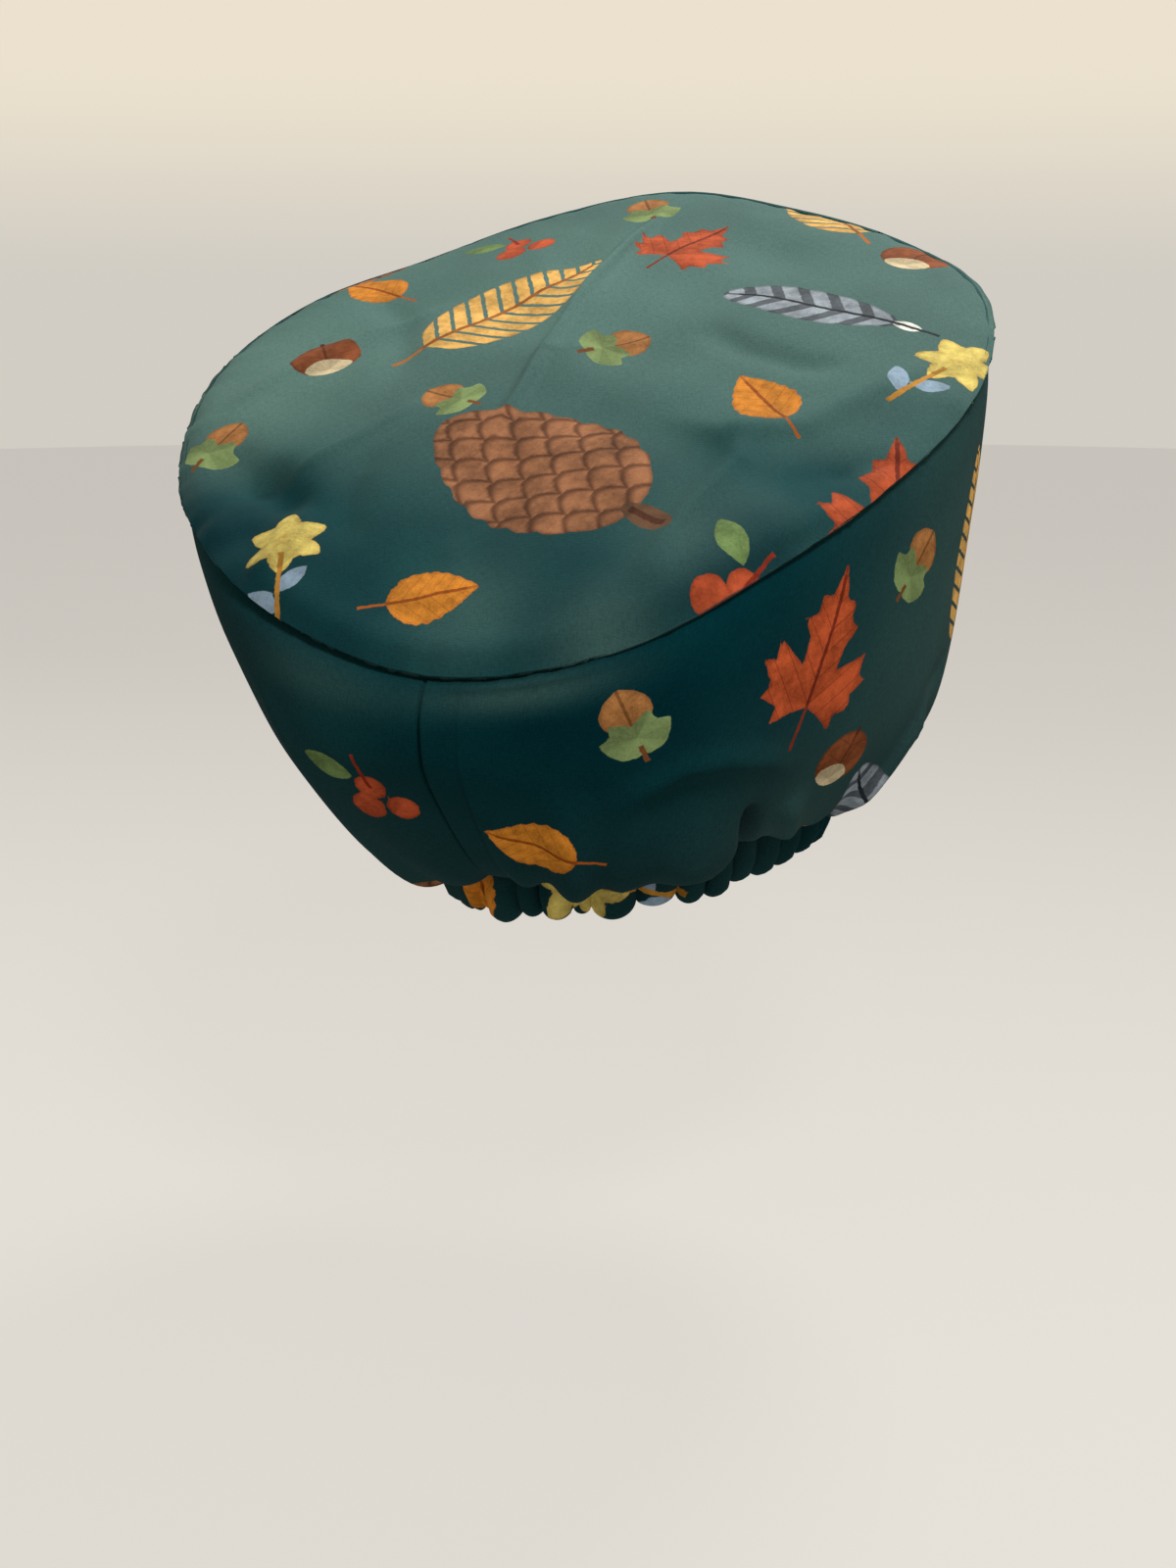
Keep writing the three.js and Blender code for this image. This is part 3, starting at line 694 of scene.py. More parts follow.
def relief_grid():
    relief = np.zeros(smooth.shape[:2])
    for i, out in enumerate(CROWN_RINGS):
        relief[:, i] = crown_relief(crown_turns, np.full_like(turns, out))
    for i, share in enumerate(BAND_SHARES[1:], SEAM_ROW + 1):
        relief[:, i] = band_relief(turns, np.full_like(turns, share))
    lobe, _ = lobe_at(turns)
    in_front = np.abs(turn_between(turns, 0)) >= CASING_ARC / 2
    for i, down in enumerate(np.linspace(0, 1, CASING_ROWS)[1:], CASING_ROW + 1):
        rise = casing_profile("lobe", down) * lobe * LOBE_DEPTH
        crumple = ripple(turns * CASING_ARC_PER_DEGREE + CRUMPLE_LEAN * down, "casing_crumple")
        crumple = crumple * np.where(in_front, HEM_CRUMPLE, 1)
        relief[:, i] = rise + crumple * math.sin(math.pi * min(down * CRUMPLE_END, 1))
    return relief


faces = smooth + outward(smooth, middle_point) * relief_grid()[..., None]
normals = outward(faces, middle_point)
normals[:, SEAM_ROW] = outward(smooth, middle_point)[:, SEAM_ROW]


def mesh_piece(name, vertices, polygons, materials, material_index, layers):
    """A named mesh object from arrays in millimetres, with its colour and distance layers."""
    mesh = bpy.data.meshes.new(name)
    mesh.from_pydata((vertices * MM).tolist(), [], polygons)
    for key, values in layers.items():
        if values.ndim == 1:
            layer, field = mesh.attributes.new(key, "FLOAT", "POINT"), "value"
        elif values.shape[1] == 2:
            layer, field = mesh.uv_layers.new(name=key), "uv"
        else:
            layer, field = mesh.attributes.new(key, "FLOAT_COLOR", "CORNER"), "color"
        layer.data.foreach_set(field, values.astype(np.float32).ravel())
    for material in materials:
        mesh.materials.append(material)
    mesh.polygons.foreach_set("material_index", material_index.astype(np.int32))
    mesh.polygons.foreach_set("use_smooth", np.ones(len(mesh.polygons), bool))
    mesh.update()
    mesh.validate()
    piece = bpy.data.objects.new(name, mesh)
    bpy.context.scene.collection.objects.link(piece)
    return piece


def spindle(length, half, fullness=1, taper=1, depth=0, ripples=0, low=0, middle=(0, 0), turn=0):
    """Closed outline that swells between two ends: a leaf, petal, nut or vane. (across, along)."""
    s = np.linspace(0, 1, OUTLINE_PLACES)
    swell = np.sin(math.pi * s**taper) ** fullness
    swell = swell * (1 + depth * np.abs(np.sin(ripples * math.pi * s)))
    across = np.concatenate([half * swell, -half * swell[::-1]])
    along = np.concatenate([s, s[::-1]]) * length + low
    c, d = math.cos(math.radians(turn)), math.sin(math.radians(turn))
    return np.stack([across * c - along * d + middle[0], across * d + along * c + middle[1]], -1)


def round_outline(radius, middle=(0, 0), squash=1.0):
    angle = np.linspace(0, 2 * math.pi, ROUND_PLACES, endpoint=False)
    return np.stack([radius * np.cos(angle) + middle[0], radius * squash * np.sin(angle) + middle[1]], -1)


def mirrored(half_outline):
    half = np.array(half_outline, float)
    return np.concatenate([half, half[::-1] * [-1, 1]])


MAPLE_HALF = [
    (0.0, -0.02), (0.14, -0.07), (0.29, -0.16), (0.27, -0.04), (0.42, 0.0), (0.36, 0.09), (0.5, 0.24),
    (0.38, 0.24), (0.4, 0.38), (0.26, 0.3), (0.15, 0.24), (0.17, 0.42), (0.25, 0.52), (0.15, 0.56),
    (0.15, 0.68), (0.07, 0.68), (0.0, 0.9),
]

# Motifs of the print, in millimetres, (across, along) from the motif's foot. strokes: spacing of
# the fine lines, their slope, and the shares of the spacing that are line and that are cut away.
# stalk: where a straight stalk starts and ends, its half width, and 1 for crossed lines.
MOTIFS = {
    "cone": {
        "body": [spindle(84, 27, 0.62, 0.82, 0.07, 9)],
        "second": [spindle(20, 4.5, 0.5, 1, low=-15)],
        "inks": [(158, 108, 76), (104, 76, 56), (78, 46, 32)],
        "strokes": (13.0, 0.8, 0.12, 0.0), "stalk": (-12, 2, 1.2, 1), "reach": 60, "centre": 40,
    },
    "fern": {
        "body": [spindle(74, 18, 0.75, 0.8)],
        "second": [],
        "inks": [(236, 186, 104), (210, 142, 70), (162, 98, 46)],
        "strokes": (6.4, 0.55, 0.0, 0.3), "stalk": (-12, 70, 0.9, 0), "reach": 55, "centre": 34,
    },
    "feather": {
        "body": [spindle(66, 10.5, 0.55, 1.15, 0.05, 7)],
        "second": [spindle(11, 2.6, 0.7, 1, low=-8)],
        "inks": [(156, 168, 180), (226, 228, 224), (40, 48, 56)],
        "strokes": (11.0, 0.75, 0.46, 0.0), "stalk": (-14, 60, 0.7, 0), "reach": 48, "centre": 30,
    },
    "maple": {
        "body": [mirrored(MAPLE_HALF) * 56],
        "second": [],
        "inks": [(186, 84, 48), (214, 134, 76), (120, 46, 30)],
        "strokes": (9.0, 1.0, 0.1, 0.0), "stalk": (-17, 46, 0.8, 0), "reach": 45, "centre": 20,
    },
    "birch": {
        "body": [spindle(30, 10, 0.9, 0.72, 0.12, 8)],
        "second": [],
        "inks": [(228, 146, 52), (212, 124, 44), (164, 86, 30)],
        "strokes": (4.6, 0.8, 0.14, 0.0), "stalk": (-9, 26, 0.6, 0), "reach": 28, "centre": 14,
    },
    "flower": {
        "body": [spindle(15, 4.1, 0.8, 1.1, turn=t, middle=(0, 12)) for t in range(0, 360, 60)],
        "second": [spindle(15, 3.6, 0.9, 0.9, turn=-48, middle=(0, -16)),
                   spindle(13, 3.4, 0.9, 0.9, turn=44, middle=(0, -10))],
        "inks": [(226, 206, 114), (138, 162, 184), (184, 132, 54)],
        "strokes": (90.0, 0.0, 0.0, 0.0), "stalk": (-22, 6, 0.9, 1), "reach": 34, "centre": 2,
    },
    "hazelnut": {
        "body": [spindle(17, 8.2, 0.6, 1.1)],
        "second": [spindle(15, 4.2, 0.8, 0.9, 0.1, 3, -2, (0, -4), t) for t in (-62, -30, 30, 62)],
        "inks": [(184, 126, 74), (128, 150, 98), (112, 70, 40)],
        "strokes": (4.0, 2.6, 0.12, 0.0), "stalk": (-9, -3, 0.9, 0), "reach": 22, "centre": 6,
    },
    "berries": {
        "body": [round_outline(5.4, (-6, 4)), round_outline(5.8, (5.5, 6)), round_outline(5.2, (0, 14.5))],
        "second": [spindle(18, 4.4, 0.9, 0.9, low=2, turn=-58, middle=(2, 18))],
        "inks": [(204, 92, 56), (116, 144, 88), (146, 50, 32)],
        "strokes": (90.0, 0.0, 0.0, 0.0), "stalk": (14, 28, 0.7, 1), "reach": 34, "centre": 12,
    },
    "chestnut": {
        "body": [round_outline(12.5, (0, 8), 0.84)],
        "second": [spindle(17, 4.6, 0.6, 1, low=-8.5, turn=90, middle=(0, 1.4))],
        "inks": [(150, 84, 50), (226, 208, 170), (98, 48, 30)],
        "strokes": (6.5, 0.3, 0.1, 0.0), "stalk": (17, 20, 0.8, 0), "reach": 24, "centre": 8,
    },
}

# Where each motif lies on the crown: back, left: millimetres from its middle. turn: degrees
# that its top leans to the wearer's left. size: share of its plain size.
CROWN_PRINT = [
    ("cone", 62, -8, 62, 1), ("fern", -34, 34, -38, 1.05), ("feather", -34, -72, 74, 1),
    ("birch", 22, -72, 40, 1), ("flower", 112, 60, 14, 0.95), ("maple", -86, -22, -24, 0.72),
    ("chestnut", 0, 88, 30, 1), ("berries", 112, -84, -24, 1.05), ("hazelnut", 48, 108, -20, 1),
    ("berries", -92, 48, 36, 1), ("hazelnut", -8, -14, -52, 1), ("birch", -60, 96, 62, 1),
    ("chestnut", -80, -98, -18, 1), ("birch", 118, 10, -70, 0.95), ("hazelnut", -118, 4, 24, 1),
    ("maple", 62, -124, 10, 0.9), ("flower", -2, -118, -34, 0.95), ("cone", -96, 118, -12, 0.85),
    ("fern", -130, -64, 30, 0.9), ("hazelnut", 26, 34, 66, 0.95),
]

# And on the band: turn from the back, share of the height, degrees that its top leans to the
# wearer's left, and size.
BAND_PRINT = [
    ("hazelnut", 338, 0.28, 26, 1), ("maple", 306, 0.26, -16, 0.88), ("birch", 352, 0.62, 66, 1),
    ("chestnut", 296, 0.52, -22, 1), ("berries", 14, 0.52, 8, 1), ("flower", 48, 0.5, -28, 1),
    ("birch", 62, 0.22, 20, 1.05), ("cone", 30, 0.86, 84, 0.8), ("feather", 276, 0.72, 40, 0.95),
    ("fern", 262, 0.3, 12, 0.95), ("hazelnut", 286, 0.2, -40, 1), ("chestnut", 240, 0.62, 16, 1),
    ("cone", 222, 0.34, -8, 0.9), ("berries", 198, 0.6, -12, 1), ("birch", 186, 0.24, 34, 1),
    ("maple", 164, 0.5, 22, 0.95), ("flower", 146, 0.24, -14, 1), ("feather", 128, 0.55, -24, 1),
    ("hazelnut", 108, 0.26, 18, 1), ("fern", 92, 0.55, 46, 1), ("chestnut", 78, 0.8, 0, 1),
    ("berries", 334, 0.88, 30, 1), ("birch", 300, 0.9, -50, 1),
    ("hazelnut", 268, 0.88, 10, 1), ("maple", 108, 0.86, 30, 0.8), ("flower", 232, 0.9, 20, 0.9),
]

# And on the casing and hem: turn, share down the casing, lean and size.
CASING_PRINT = [
    ("birch", 24, 0.5, 10, 1), ("flower", 344, 0.6, 80, 1),
    ("berries", 60, 0.5, 70, 1), ("birch", 96, 0.5, -60, 1),
    ("maple", 158, 0.4, 60, 0.8), ("birch", 204, 0.5, -30, 1),
]


def from_outline(places, outline):
    """Signed distance of places from a closed outline, below zero inside."""
    inside = np.zeros(places.shape[:-1], bool)
    best = np.full(places.shape[:-1], np.inf)
    for start, end in zip(outline, np.roll(outline, -1, 0)):
        distance, _, cross = beside_stretch(places, start, end)
        best = np.minimum(best, distance)
        spans = (start[1] > places[..., 1]) != (end[1] > places[..., 1])
        inside ^= spans & ((cross < 0) == (end[1] > start[1]))
    return np.where(inside, -best, best)


def from_outlines(places, outlines):
    """Signed distance of places from the nearest of several outlines."""
    best = np.full(len(places), FAR_FROM_MOTIF)
    for outline in outlines:
        best = np.minimum(best, from_outline(places, outline))
    return best


def placed_motifs(part, layout):
    """Centre, across and along directions of each motif of a layout, in millimetres."""
    out = []
    for name, a, b, lean, size in layout:
        if part == "crown":
            half = np.array([a / (CROWN_LENGTH / 2), b / (CROWN_WIDTH / 2)])
            out_share = float(np.hypot(*half))
            turn = math.degrees(math.atan2(half[1], half[0]))
            centre = crown_point(np.array([turn]), np.array([out_share]))[0]
            up, side = -OVAL_BACK, OVAL_LEFT
        else:
            j = int(np.argmin(np.abs(turn_between(turns, a))))
            if part == "band":
                i = SEAM_ROW + int(np.argmin(np.abs(BAND_SHARES - b)))
            else:
                i = CASING_ROW + int(b * (CASING_ROWS - 1))
            centre = smooth[j, i]
            up = smooth[j, i - 1] - smooth[j, i + 1]
            up = up / np.linalg.norm(up)
            side = smooth[(j + 2) % len(turns), i] - smooth[j - 2, i]
            side = side - up * (side @ up)
            side = side / np.linalg.norm(side)
        lean = math.radians(lean)
        along = up * math.cos(lean) + side * math.sin(lean)
        across = side * math.cos(lean) - up * math.sin(lean)
        out.append((name, centre, across, along, size))
    return out


def print_layers(points, triples, corners, face_of_corner, motifs, ink_gain):
    """Distance and colour layers of the print over one piece. triples: three corners of each face."""
    outline = np.full(len(points), FAR_FROM_MOTIF)
    second = outline.copy()
    nearest = np.full(len(points), NO_MOTIF)
    local = []
    scores = []
    for name, centre, across, along, size in motifs:
        motif = MOTIFS[name]
        away = points - centre
        facing = np.cross(across, along)
        flat = np.stack([away @ across, away @ along], -1) / size
        flat[:, 1] += motif["centre"]
        local.append(flat)
        reach = motif["reach"] * size
        level = np.abs(away @ facing) < reach * LEVEL_WITH_MOTIF
        near = (np.linalg.norm(away, axis=1) < reach * BESIDE_MOTIF) & level
        rows = np.flatnonzero(near)
        places = flat[rows]
        body = from_outlines(places, motif["body"])
        extra = from_outlines(places, motif["second"])
        start, end, half, _ = motif["stalk"]
        beyond = np.abs(places[:, 1] - (start + end) / 2) - (end - start) / 2
        stalk = np.maximum(np.abs(places[:, 0]) - half, beyond)
        least = np.minimum(np.minimum(body, extra), stalk) * size
        closer = least < nearest[rows]
        nearest[rows[closer]] = least[closer]
        outline[rows[closer]] = body[closer] * size
        second[rows[closer]] = extra[closer] * size
        score = np.full(len(points), MOTIF_UNSEEN)
        score[rows] = least
        scores.append(score)
    owner = np.argmin(np.array(scores)[:, triples].mean(2), axis=0)[face_of_corner]
    choice = np.random.default_rng(PRINT_SEED)
    tints = 1 + choice.uniform(-TINT_RANGE, TINT_RANGE, len(motifs))
    layers = {"outline": outline, "second": second, "print": np.array(local)[owner, corners] / UV_UNIT}
    for k, key in enumerate(("ink", "ink_two", "ink_line")):
        table = np.array([linear(MOTIFS[m[0]]["inks"][k]) for m in motifs]) * tints[:, None]
        table = np.minimum(table * ink_gain, BRIGHTEST_INK)
        layers[key] = np.concatenate([table, np.ones((len(motifs), 1))], 1)[owner]
    for key in ("strokes", "stalk"):
        layers[key] = np.array([MOTIFS[m[0]][key] for m in motifs], float)[owner]
    return layers


def cloth_places(columns, part):
    """Places on the flat cloth in millimetres: over the crown's plane, or along and down the band."""
    rows = smooth[columns, part]
    if part.start == 0:
        away = rows - CROWN_MIDDLE
        return np.stack([away @ OVAL_LEFT, away @ OVAL_BACK], -1)
    steps = np.linalg.norm(np.diff(rows, axis=1), axis=-1)
    down = np.concatenate([np.zeros((len(columns), 1)), np.cumsum(steps, axis=1)], 1)
    along = turn_between(turns[columns], FULL_TURN / 2)[:, None] * ARC_PER_DEGREE + 0 * down
    return np.stack([along, down], -1)


def crown_dust_and_sheen():
    """How much painted sheen, partly dust, makes the crown's ground paler."""
    back = CROWN_RINGS * np.cos(np.radians(crown_turns))[:, None] * CROWN_LENGTH / 2
    left = CROWN_RINGS * np.sin(np.radians(crown_turns))[:, None] * CROWN_WIDTH / 2
    pale = DUST_AND_SHEEN_MOST * smooth_step(back, DUST_AND_SHEEN_FROM, DUST_AND_SHEEN_TO)
    for row in rows_of(DUST_AND_SHEEN_PLACES):
        pale = pale + row["share"] * bell(np.hypot(back - row["back"], left - row["left"]), row["wide"])
    return np.clip(pale, 0, 1)


def band_dust_and_sheen(columns, part):
    """How much painted light and sheen, partly dust, make the ground paler over the band, casing and hem."""
    turn = turns[columns][:, None]
    share = np.concatenate([np.zeros(SEAM_ROW), BAND_SHARES, np.ones(CASING_ROWS - 1)])[part]
    pale = 0 * turn * share
    for row in rows_of(BAND_DUST_AND_SHEEN_PLACES):
        sideways = bell(turn_between(turn, row["turn"]), row["wide"])
        pale = pale + row["amount"] * sideways * bell(share - row["share"], row["tall"])
    return pale


def direction(from_points, to_points):
    way = to_points - from_points
    return way / np.linalg.norm(way, axis=-1, keepdims=True)


def draw_back(edge, following):
    """Draws an edge of cloth back by half of the gap at its seam."""
    edge += direction(edge, following) * SEAM_GAP / 2


def turn_in_edge(outer, inner, facing_out, row, thick):
    """Turns the edge at a seam in by the seam's allowance, so no light passes between the pieces."""
    way = direction(outer[:, row], outer[:, 1 if row == 0 else -2])
    outer[:, row] -= facing_out[:, row] * TURNED_IN
    inner[:, row] = outer[:, row] + way * thick


def cloth_shell(name, columns, rows, thick, motifs, ink_gain, face_cotton, poles=None, sewn_row=None):
    """One closed wall of cloth from rows of the cap's face, with its inner face behind it."""
    part = slice(rows[0], rows[1] + 1)
    outer = faces[columns, part].copy()
    facing_out = normals[columns, part]
    inner = outer - facing_out * thick
    ring = len(columns) == len(turns)
    for grid in (outer, inner):
        if poles is None:
            draw_back(grid[:, 0], grid[:, 1])
        draw_back(grid[:, -1], grid[:, -2])
        if not ring:
            draw_back(grid[0], grid[1])
            draw_back(grid[-1], grid[-2])
    if sewn_row is not None:
        turn_in_edge(outer, inner, facing_out, sewn_row, thick)
    count = outer[..., 0].size
    numbers = np.arange(count).reshape(outer.shape[:2])
    if ring:
        numbers = np.concatenate([numbers, numbers[:1]])
    other_way = [0, 3, 2, 1]

    def wall(edge):
        """Faces from an edge of the outer face to the same edge of the inner one."""
        return np.stack([edge[:-1], edge[1:], edge[1:] + count, edge[:-1] + count], -1)

    near, far = numbers[:-1], numbers[1:]
    face = np.stack([near[:, :-1], far[:, :-1], far[:, 1:], near[:, 1:]], -1).reshape(-1, 4)
    quads = [face, wall(numbers[:, -1])]
    if poles is None:
        quads.append(wall(numbers[:, 0])[:, other_way])
    if not ring:
        quads += [wall(numbers[0]), wall(numbers[-1])[:, other_way]]
    quads = np.concatenate([*quads, face[:, other_way] + count])
    wrong_way_out = np.arange(len(quads)) >= len(quads) - len(face)
    points = np.concatenate([outer.reshape(-1, 3), inner.reshape(-1, 3)])
    still = np.tile(smooth[columns, part].reshape(-1, 3), (2, 1))
    flat = np.tile(cloth_places(columns, part).reshape(-1, 2), (2, 1))
    # Painted sheen and light, partly dust, carried as a layer of each piece
    pale = (band_dust_and_sheen(columns, part) if poles is None else crown_dust_and_sheen()).ravel()
    pale = np.tile(pale, 2)
    polygons = quads.tolist()
    corners = quads.ravel()
    face_of_corner = np.repeat(np.arange(len(quads)), 4)
    triples = quads[:, :3]
    if poles is not None:
        top, top_after = numbers[:-1, 0], numbers[1:, 0]
        outer_pole = np.full(len(top), len(points))
        fans = np.concatenate([
            np.stack([outer_pole, top_after, top], -1),
            np.stack([outer_pole + 1, top + count, top_after + count], -1),
        ])
        points = np.concatenate([points, poles])
        still = np.concatenate([still, poles])
        flat = np.concatenate([flat, np.zeros((2, 2))])
        pale = np.concatenate([pale, [pale[0], pale[0]]])
        polygons += fans.tolist()
        wrong_way_out = np.concatenate([wrong_way_out, np.repeat([False, True], len(top))])
        face_of_corner = np.concatenate([face_of_corner, len(quads) + np.repeat(np.arange(len(fans)), 3)])
        corners = np.concatenate([corners, fans.ravel()])
        triples = np.concatenate([triples, fans])
    layers = print_layers(still, triples, corners, face_of_corner, motifs, ink_gain)
    layers["cloth"] = flat[corners] / UV_UNIT
    layers["pale"] = pale
    return mesh_piece(name, points, polygons, [face_cotton, wrong_side], wrong_way_out, layers)


# Materials
def feed(slot, value):
    """Sets a socket, or links it to a varying value."""
    value = getattr(value, "socket", value)
    if isinstance(value, bpy.types.NodeSocket):
        slot.id_data.links.new(value, slot)
    else:
        slot.default_value = value


def calculate(tree, operation, *values, clamp=False):
    made = tree.nodes.new("ShaderNodeMath")
    made.operation = operation
    made.use_clamp = clamp
    for slot, value in zip(made.inputs, values):
        feed(slot, value)
    return Measure(made.outputs[0])


class Measure:
    """A value that varies over a surface. Arithmetic on it adds nodes to its tree."""

    def __init__(self, socket):
        self.socket = socket
        self.tree = socket.id_data

    def work(self, operation, *others, clamp=False):
        return calculate(self.tree, operation, self, *others, clamp=clamp)

    def __add__(self, other):
        return self.work("ADD", other)

    def __sub__(self, other):
        return self.work("SUBTRACT", other)

    def __rsub__(self, other):
        return calculate(self.tree, "SUBTRACT", other, self)

    def __mul__(self, other):
        return self.work("MULTIPLY", other)

    def __truediv__(self, other):
        return self.work("DIVIDE", other)

    def __rtruediv__(self, other):
        return calculate(self.tree, "DIVIDE", other, self)

    def __gt__(self, other):
        return self.work("GREATER_THAN", other)

    def __abs__(self):
        return self.work("ABSOLUTE")

    def ramp(self, low, high):
        """Smooth share of the way from low to high."""
        made = self.tree.nodes.new("ShaderNodeMapRange")
        made.interpolation_type = "SMOOTHSTEP"
        feed(made.inputs["Value"], self)
        made.inputs["From Min"].default_value = low
        made.inputs["From Max"].default_value = high
        return Measure(made.outputs["Result"])

    def blend(self, first, second):
        """Colour this share of the way from the first to the second."""
        made = self.tree.nodes.new("ShaderNodeMix")
        made.data_type = "RGBA"
        feed(made.inputs["Factor"], self)
        feed(made.inputs[6], first)
        feed(made.inputs[7], second)
        return made.outputs[2]


def toned(colour, strength):
    """A colour made lighter or darker by a varying strength."""
    made = colour.id_data.nodes.new("ShaderNodeVectorMath")
    made.operation = "SCALE"
    feed(made.inputs[0], colour)
    feed(made.inputs["Scale"], strength)
    return made.outputs[0]


def parts_of(vector):
    """The three parts of a vector or colour."""
    made = vector.id_data.nodes.new("ShaderNodeSeparateXYZ")
    feed(made.inputs[0], vector)
    return [Measure(part) for part in made.outputs]


def noise(place, scale, detail, roughness, stretch=None):
    tree = place.id_data
    if stretch is not None:
        turned = tree.nodes.new("ShaderNodeMapping")
        feed(turned.inputs["Vector"], place)
        turned.inputs["Scale"].default_value = stretch
        place = turned.outputs["Vector"]
    made = tree.nodes.new("ShaderNodeTexNoise")
    for name, value in (("Scale", scale), ("Detail", detail), ("Roughness", roughness), ("Vector", place)):
        feed(made.inputs[name], value)
    return Measure(made.outputs["Fac"])


def new_group(name, inputs, outputs):
    """A shader node group. inputs and outputs: names of sockets by their kind."""
    tree = bpy.data.node_groups.new(name, "ShaderNodeTree")
    for way, kinds in (("INPUT", inputs), ("OUTPUT", outputs)):
        for kind, labels in kinds.items():
            for label in labels:
                tree.interface.new_socket(label, in_out=way, socket_type="NodeSocket" + kind)
    return tree, tree.nodes.new("NodeGroupInput").outputs, tree.nodes.new("NodeGroupOutput").inputs


def watercolour_ink():
    """Inks of one motif over a ground colour: body, second part, fine strokes or scales, and stalk."""
    tree, given, result = new_group(
        "watercolour_ink",
        {
            "Color": ["Ground", "Ink", "Ink Two", "Ink Line", "Strokes", "Stalk"],
            "Float": ["Outline", "Second", "Cut", "Crossed", "Strength"],
            "Vector": ["Print"],
        },
        {"Color": ["Color"]},
    )
    across, along, _ = [part * UV_UNIT for part in parts_of(given["Print"])]
    pitch, slope, line = parts_of(given["Strokes"])
    start, end, half = parts_of(given["Stalk"])
    outline, second, cut, crossed, strength = [
        Measure(given[name]) for name in ("Outline", "Second", "Cut", "Crossed", "Strength")
    ]
    blotch = noise(given["Print"], *INK_BLOTCH)
    grain = noise(given["Print"], *INK_GRAIN)
    fine = noise(given["Print"], *INK_FINE)
    wobble = grain - 0.5
    lined = line > JUST_OVER_NONE

    def along_strokes(sideways):
        """From 1 on a slanted stroke's middle to 0 halfway between two."""
        bent = wobble * STROKE_WOBBLE + along - slope * sideways
        part = (bent / pitch).work("FRACT")
        return abs(part - 0.5) * 2

    def where_crossed(plain, cross):
        return (cross - plain) * crossed + plain

    one_way = along_strokes(where_crossed(abs(across), across))
    other_way = along_strokes(where_crossed(abs(across), across * -1))
    stroke = one_way.work("MAXIMUM", other_way) - (1 - line)
    stroke = (stroke / (STROKE_SOFT / pitch + JUST_OVER_NONE)).work("MULTIPLY", lined, clamp=True)
    rib = (abs(across) + crossed * RIB_GONE).ramp(*RIB_EDGE) * lined
    stroke = stroke.work("MAXIMUM", rib) * (1 - crossed)

    scale_row = (wobble * SCALE_WOBBLE + along) / (pitch * SCALE_TALL)
    shifted = (scale_row.work("FLOOR") + SCALE_OFFSET).work("MODULO", 2.0) * 0.5
    off_middle = (across / pitch + shifted + SCALE_OFFSET).work("FRACT") - 0.5
    arch = scale_row.work("FRACT") - (SCALE_TIP - off_middle * off_middle * SCALE_CURVE)
    scale_edge = abs(arch).ramp(SCALE_SOFT, 0.0) * crossed * lined
    stroke = stroke.work("MAXIMUM", scale_edge)

    body = (wobble * OUTLINE_WOBBLE + outline).ramp(INK_EDGE, -INK_EDGE)
    gap = (one_way - (1 - cut)) / (CUT_SOFT / pitch + JUST_OVER_NONE)
    gap = gap.work("MULTIPLY", cut > JUST_OVER_NONE, clamp=True)
    body = body.work("MULTIPLY", 1 - gap, clamp=True)
    extra = (wobble * SECOND_WOBBLE + second).ramp(INK_EDGE, -INK_EDGE)
    beyond = abs(along - (start + end) * 0.5) - (end - start) * 0.5
    beside = abs(wobble * STALK_WOBBLE + across) - half
    stem = beside.work("MAXIMUM", beyond).ramp(INK_EDGE, -INK_EDGE)

    rim = outline.ramp(*RIM_REACH)
    shade = (rim * RIM_DARK).blend(given["Ink"], given["Ink Line"])
    shade = (stroke * STROKE_DARK).blend(shade, given["Ink Line"])
    colour = body.blend(given["Ground"], shade)
    colour = extra.blend(colour, given["Ink Two"])
    colour = stem.blend(colour, given["Ink Line"])
    wash = blotch.ramp(*WASH_FROM_TO) * WASH_DEPTH + WASH_LEAST
    wash = wash + wobble * GRAIN_DEPTH + (fine - 0.5) * FINE_DEPTH
    mask = body.work("MAXIMUM", extra).work("MAXIMUM", stem) * strength
    feed(result["Color"], mask.blend(given["Ground"], toned(colour, wash)))
    return tree


def cotton_weave():
    """Fine weave and soft unevenness of plain cotton."""
    tree, given, result = new_group(
        "cotton_weave",
        {"Vector": ["Cloth"], "Float": ["Thread", "Crumple"]},
        {"Float": ["Height", "Shade", "Soft"]},
    )
    weft = noise(given["Cloth"], *THREAD_NOISE, stretch=(1.0, THREAD_STRETCH, 1.0))
    warp = noise(given["Cloth"], *THREAD_NOISE, stretch=(THREAD_STRETCH, 1.0, 1.0))
    threads = weft + warp
    crumple = noise(given["Cloth"], *CRUMPLE_NOISE)
    feed(result["Height"], threads * Measure(given["Thread"]) + crumple * Measure(given["Crumple"]))
    feed(result["Shade"], threads * 0.5)
    feed(result["Soft"], noise(given["Cloth"], *TONE_NOISE))
    return tree


def lay_group(tree, group):
    made = tree.nodes.new("ShaderNodeGroup")
    made.node_tree = group
    return made


def attribute(tree, name, output):
    made = tree.nodes.new("ShaderNodeAttribute")
    made.attribute_name = name
    return made.outputs[output]


def uv_place(tree, name):
    made = tree.nodes.new("ShaderNodeUVMap")
    made.uv_map = name
    return made.outputs["UV"]


def opaque(rgb):
    return (*linear(rgb), 1)


ink_group = watercolour_ink()
weave_group = cotton_weave()


